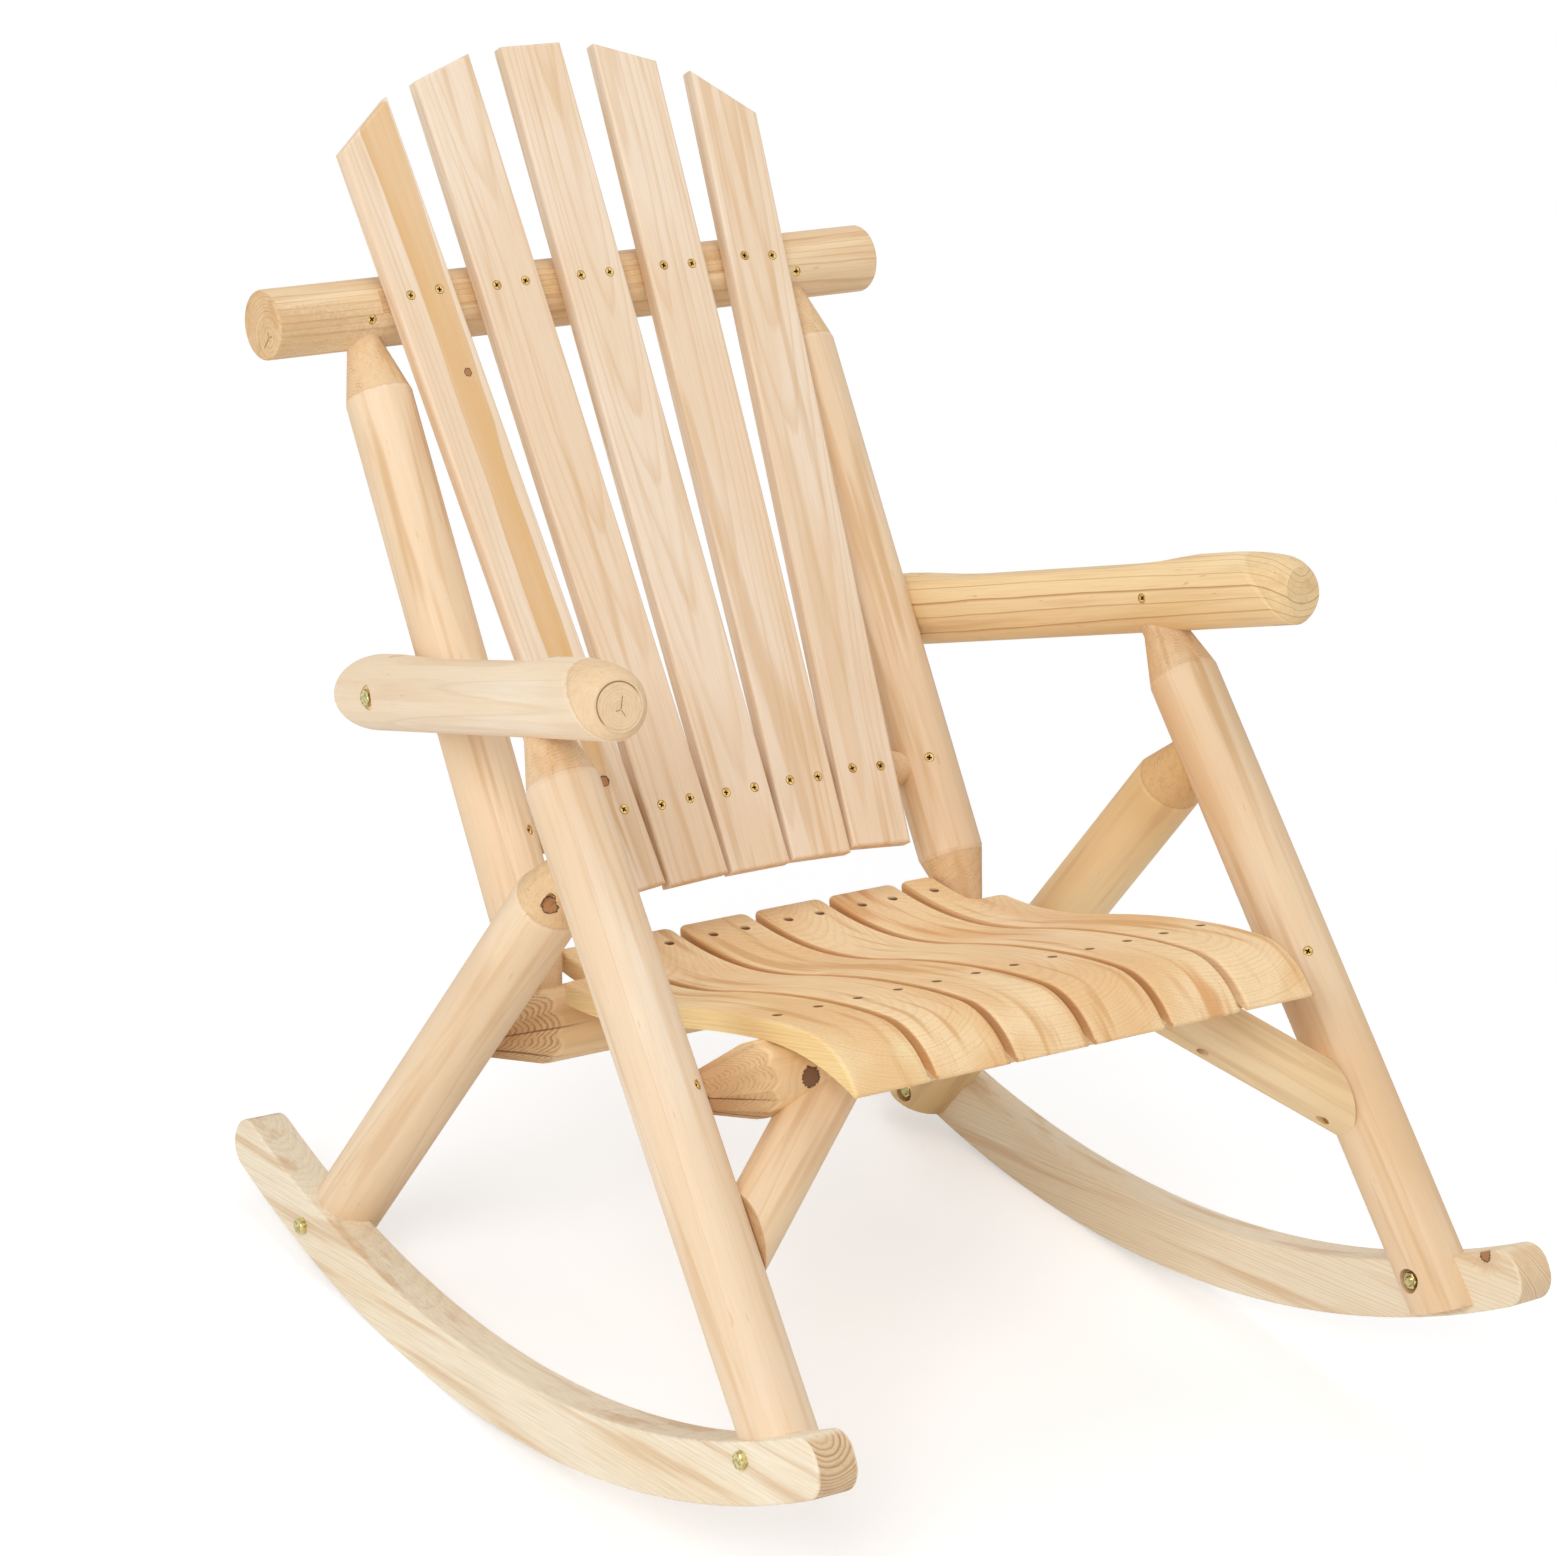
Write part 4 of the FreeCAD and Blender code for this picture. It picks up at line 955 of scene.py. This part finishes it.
def makePiece(name, parts, material, slot, *replaced):
    # one object of several closed parts; a part's third item says how much painted shade each point gets
    points = np.vstack([part[0] for part in parts])
    offsets = np.cumsum([0] + [len(part[0]) for part in parts[:-1]])
    faces = [
        [corner + int(offset) for corner in face]
        for part, offset in zip(parts, offsets) for face in part[1]
    ]
    mesh = bpy.data.meshes.new(name)
    mesh.from_pydata(points.tolist(), [], faces)
    mesh.polygons.foreach_set("use_smooth", [True] * len(faces))
    mesh.set_sharp_from_angle(angle=sharpFrom)
    mesh.materials.append(material)
    headShade = mesh.attributes.new("headShade", "FLOAT", "POINT")
    pointShades = [part[2] if len(part) > 2 else np.zeros(len(part[0])) for part in parts]
    headShade.data.foreach_set("value", np.concatenate(pointShades))
    piece = bpy.data.objects.new(name, mesh)
    bpy.context.scene.collection.objects.link(piece)
    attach(piece, "root")
    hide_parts(*replaced)


zinc = {
    "screws": {
        "light": linear(240, 208, 134), "dark": linear(184, 140, 80),
        "roughness": 0.32, "metal": 1.0,
    },
    # the seat's screws sit deep in their holes: their heads are a dull dark brown, painted shade in
    # place of the zinc
    "shadedSunkScrews": {
        "light": linear(110, 72, 44), "dark": linear(70, 44, 27),
        "roughness": 0.70, "metal": 0.0,
    },
    "bolts": {
        "light": linear(236, 226, 166), "dark": linear(172, 162, 110),
        "roughness": 0.20, "metal": 1.0,
    },
}
# the colour of the painted shade in a screw's cross slots and round its rim
headShadeColour = linear(46, 34, 20)
zincNoise = {"cloud": (340, 340, 340), "grit": (2600, 2600, 2600)}
zincSteps = {"cloud": (0.35, 0.7), "headShade": (0.1, 0.7)}
zincRelief = {"strength": 0.4, "depth": 0.00008}
zincGloss = {"cloud": 0.3, "grit": 0.15, "specular": 0.5}


def zincMaterial(name, look):
    # yellow zinc plating: cloudy colour, fine scratches, and painted shade in the cross slots and at the
    # rim
    material = bpy.data.materials.new(name)
    s = Shader(material)
    place = s.node("ShaderNodeTexCoord", output="Object")
    cloud = s.noise(s.stretch(place, zincNoise["cloud"]))
    grit = s.noise(s.stretch(place, zincNoise["grit"]))
    colour = s.blend(s.ease(cloud, *zincSteps["cloud"]), look["light"], look["dark"])
    headShade = s.node("ShaderNodeAttribute", {"attribute_name": "headShade"}, output="Fac")
    colour = s.blend(s.ease(headShade, *zincSteps["headShade"]), colour, headShadeColour)
    bump = s.node("ShaderNodeBump", {}, {
        "Strength": zincRelief["strength"], "Distance": zincRelief["depth"], "Height": grit,
    })
    varied = (cloud - 0.5) * zincGloss["cloud"] + (grit - 0.5) * zincGloss["grit"]
    s.finish(s.node("ShaderNodeBsdfPrincipled", {}, {
        "Base Color": colour,
        "Metallic": look["metal"],
        "Specular IOR Level": zincGloss["specular"] * look["metal"],
        "Roughness": varied + look["roughness"],
        "Normal": bump,
    }))
    return material


screw = {
    "columns": 32,
    "shank": 0.46,  # a share of the head's radius, as the next four are
    "coneLength": 0.62,
    "faceFrom": 0.96,
    "rimFrom": 0.9,
    "faceRings": (0.78, 0.6, 0.45, 0.3, 0.15, 0.0),
    "pointShare": 0.5,  # of the shank's radius
    "rimShade": 0.5,  # how much painted shade the rim gets, for the dark gap round the head
    "pointLength": 0.003,  # metres from here on
    "taperLength": 0.007,
    "rim": 0.0004,
    "slotHalfWidth": 0.00062,
    "slotReach": 0.0024,
    "slotFor": 0.004,  # the head's radius that slotReach belongs to
    "slotDepth": 0.0016,
    "slotSide": 0.0003,
    "slotEnd": 0.0009,
}


def makeScrews(name, material, twistSeed):
    # A screw is turned round its axis: point, shank, cone and rim. Its face sinks in a cross: the
    # depth is the deeper of two slots, each one a soft-edged bar across the face.
    random = np.random.default_rng(twistSeed)
    turns = np.linspace(0, 2 * np.pi, screw["columns"], endpoint=False)
    parts = []
    for solid in solidsOf(nodes[name]):
        centre, axis, low, high, head = lineOf(solid)
        shank = head * screw["shank"]
        profile = [
            (0.0, low),
            (shank * screw["pointShare"], low + screw["pointLength"]),
            (shank, low + screw["taperLength"]),
            (shank, high - head * screw["coneLength"]),
            (head, high - screw["rim"]),
            (head * screw["faceFrom"], high),
        ]
        rings = [ringAt(turns, reach, height) for reach, height in profile]
        slotReach = screw["slotReach"] * head / screw["slotFor"]
        for share in screw["faceRings"]:
            x, y = np.cos(turns) * head * share, np.sin(turns) * head * share
            slots = [
                np.clip((screw["slotHalfWidth"] - np.abs(off)) / screw["slotSide"], 0, 1)
                * np.clip((slotReach - np.abs(ahead)) / screw["slotEnd"], 0, 1)
                for ahead, off in ((x, y), (y, x))
            ]
            rings.append(np.stack([x, y, high - screw["slotDepth"] * np.maximum(*slots)], -1))
        points, faces = surface(np.array(rings))
        out = np.hypot(points[:, 0], points[:, 1])
        rim = head * screw["rimFrom"]
        # the cross slots get painted shade by their depth, and the rim a fixed painted shade for the
        # dark gap round the head
        headShade = np.clip((high - points[:, 2]) / screw["slotDepth"], 0, 1) * (out < rim)
        headShade[out > rim] = screw["rimShade"]
        twist = random.uniform(0, np.pi / 2)
        parts.append((standing(centre, axis, points, twist), faces, headShade))
    makePiece(name + "_dressed", parts, material, "zinc_screws", name)


screwMetal = zincMaterial("screwZinc", zinc["screws"])
# the seat's sunk screws get the dark brown painted shade instead of zinc
shadedSunkMetal = zincMaterial("shadedSunkScrewZinc", zinc["shadedSunkScrews"])
screwNodes = sorted(name for name in nodes if name.endswith("screws") or "_screws_" in name)
for seed, name in enumerate(screwNodes):
    makeScrews(name, shadedSunkMetal if name.startswith("seat_") else screwMetal, seed)

hexagon = {"across": 0.0129, "columns": 48, "chamfer": math.radians(30), "faceShare": 0.95}


def hexShape():
    # The turns round a hexagon, how far its sides lie from its centre, the radius of its round
    # face, and the dip at each turn: the chamfer is a cone, so its edge is lowest at the corners.
    inner = hexagon["across"] / 2
    turns = np.linspace(0, 2 * np.pi, hexagon["columns"], endpoint=False)
    outline = inner / np.cos((turns + np.pi / 6) % (np.pi / 3) - np.pi / 6)
    face = inner * hexagon["faceShare"]
    return turns, outline, face, (outline - face) * math.tan(hexagon["chamfer"])


bolt = {
    "headHeight": 0.0053,
    "radius": 0.004,
    "tipShare": 0.8,
    "pitch": 0.00125,
    "stepsPerTurn": 5,
    "toothDepth": 0.00068,
    "threaded": 0.020,
    "threadFrom": 0.0006,
    "threadEase": 0.001,
    "underShare": 0.97,
    "underEdge": 0.0003,
    "dishShare": 0.55,
    "dishRim": 0.00025,
    "dishMiddle": 0.0003,
    "firstTwist": 0.35,
    "nextTwist": 0.4,
}


def makeBolts(name, material):
    # A bolt is a smooth shank with a hexagonal head, slightly dished on top. The thread is a wave
    # that climbs once a turn.
    turns, outline, face, dip = hexShape()
    parts = []
    for index, solid in enumerate(solidsOf(nodes[name])):
        centre, axis, low, high, _ = lineOf(solid)
        rings = [ringAt(turns, 0.0, low), ringAt(turns, bolt["radius"] * bolt["tipShare"], low)]
        threadTop = low + bolt["threaded"]
        step = bolt["pitch"] / bolt["stepsPerTurn"]
        for height in np.arange(low + bolt["threadFrom"], threadTop, step):
            climb = (height / bolt["pitch"] - turns / (2 * np.pi)) % 1
            tooth = np.abs(climb * 2 - 1) * bolt["toothDepth"]
            rings.append(ringAt(turns, bolt["radius"] - tooth, height))
        under = high - bolt["headHeight"]
        rings += [
            ringAt(turns, bolt["radius"], threadTop + bolt["threadEase"]),
            ringAt(turns, bolt["radius"], under),
            ringAt(turns, outline * bolt["underShare"], under),
            ringAt(turns, outline, under + bolt["underEdge"]),
            ringAt(turns, outline, high - dip),
            ringAt(turns, face, high),
            ringAt(turns, face * bolt["dishShare"], high - bolt["dishRim"]),
            ringAt(turns, 0.0, high - bolt["dishMiddle"]),
        ]
        points, faces = surface(np.array(rings))
        twist = bolt["firstTwist"] + bolt["nextTwist"] * index
        parts.append((standing(centre, axis, points, twist), faces))
    makePiece(name + "_dressed", parts, material, "zinc_bolts", name)


nut = {"play": 0.0001, "boreChamfer": 0.0007, "boreDepth": 0.0006, "nextTwist": 0.5}


def makeNuts(name, material):
    # a nut is a ring round the bolt: bore, chamfered bore edge, chamfered hexagon and back again
    turns, outline, face, dip = hexShape()
    bore, mouth = bolt["radius"] + nut["play"], bolt["radius"] + nut["boreChamfer"]
    parts = []
    for index, solid in enumerate(solidsOf(nodes[name])):
        centre, axis, low, high = ringLine(solid)
        loop = np.array([
            ringAt(turns, bore, low + nut["boreDepth"]),
            ringAt(turns, mouth, low),
            ringAt(turns, face, low),
            ringAt(turns, outline, low + dip),
            ringAt(turns, outline, high - dip),
            ringAt(turns, face, high),
            ringAt(turns, mouth, high),
            ringAt(turns, bore, high - nut["boreDepth"]),
        ])
        rows, columns = loop.shape[:2]
        row, column = np.meshgrid(np.arange(rows), np.arange(columns), indexing="ij")
        nextRow, nextColumn = (row + 1) % rows, (column + 1) % columns
        faces = np.stack([
            row * columns + column, row * columns + nextColumn,
            nextRow * columns + nextColumn, nextRow * columns + column,
        ], -1).reshape(-1, 4).tolist()
        twist = nut["nextTwist"] * index
        parts.append((standing(centre, axis, loop.reshape(-1, 3), twist), faces))
    makePiece(name + "_dressed", parts, material, "zinc_bolts", name)


boltMetal = zincMaterial("boltZinc", zinc["bolts"])
for place in ("rocker", "armrest"):
    makeBolts(place + "_bolts", boltMetal)
for place in ("rocker", "armrest"):
    makeNuts(place + "_nuts", boltMetal)
for name in ("rocker_washers", "armrest_washers"):
    setMaterial(nodes[name], boltMetal)
print("the screws, bolts and nuts are made")

bpy.context.scene.view_settings.view_transform = "Standard"
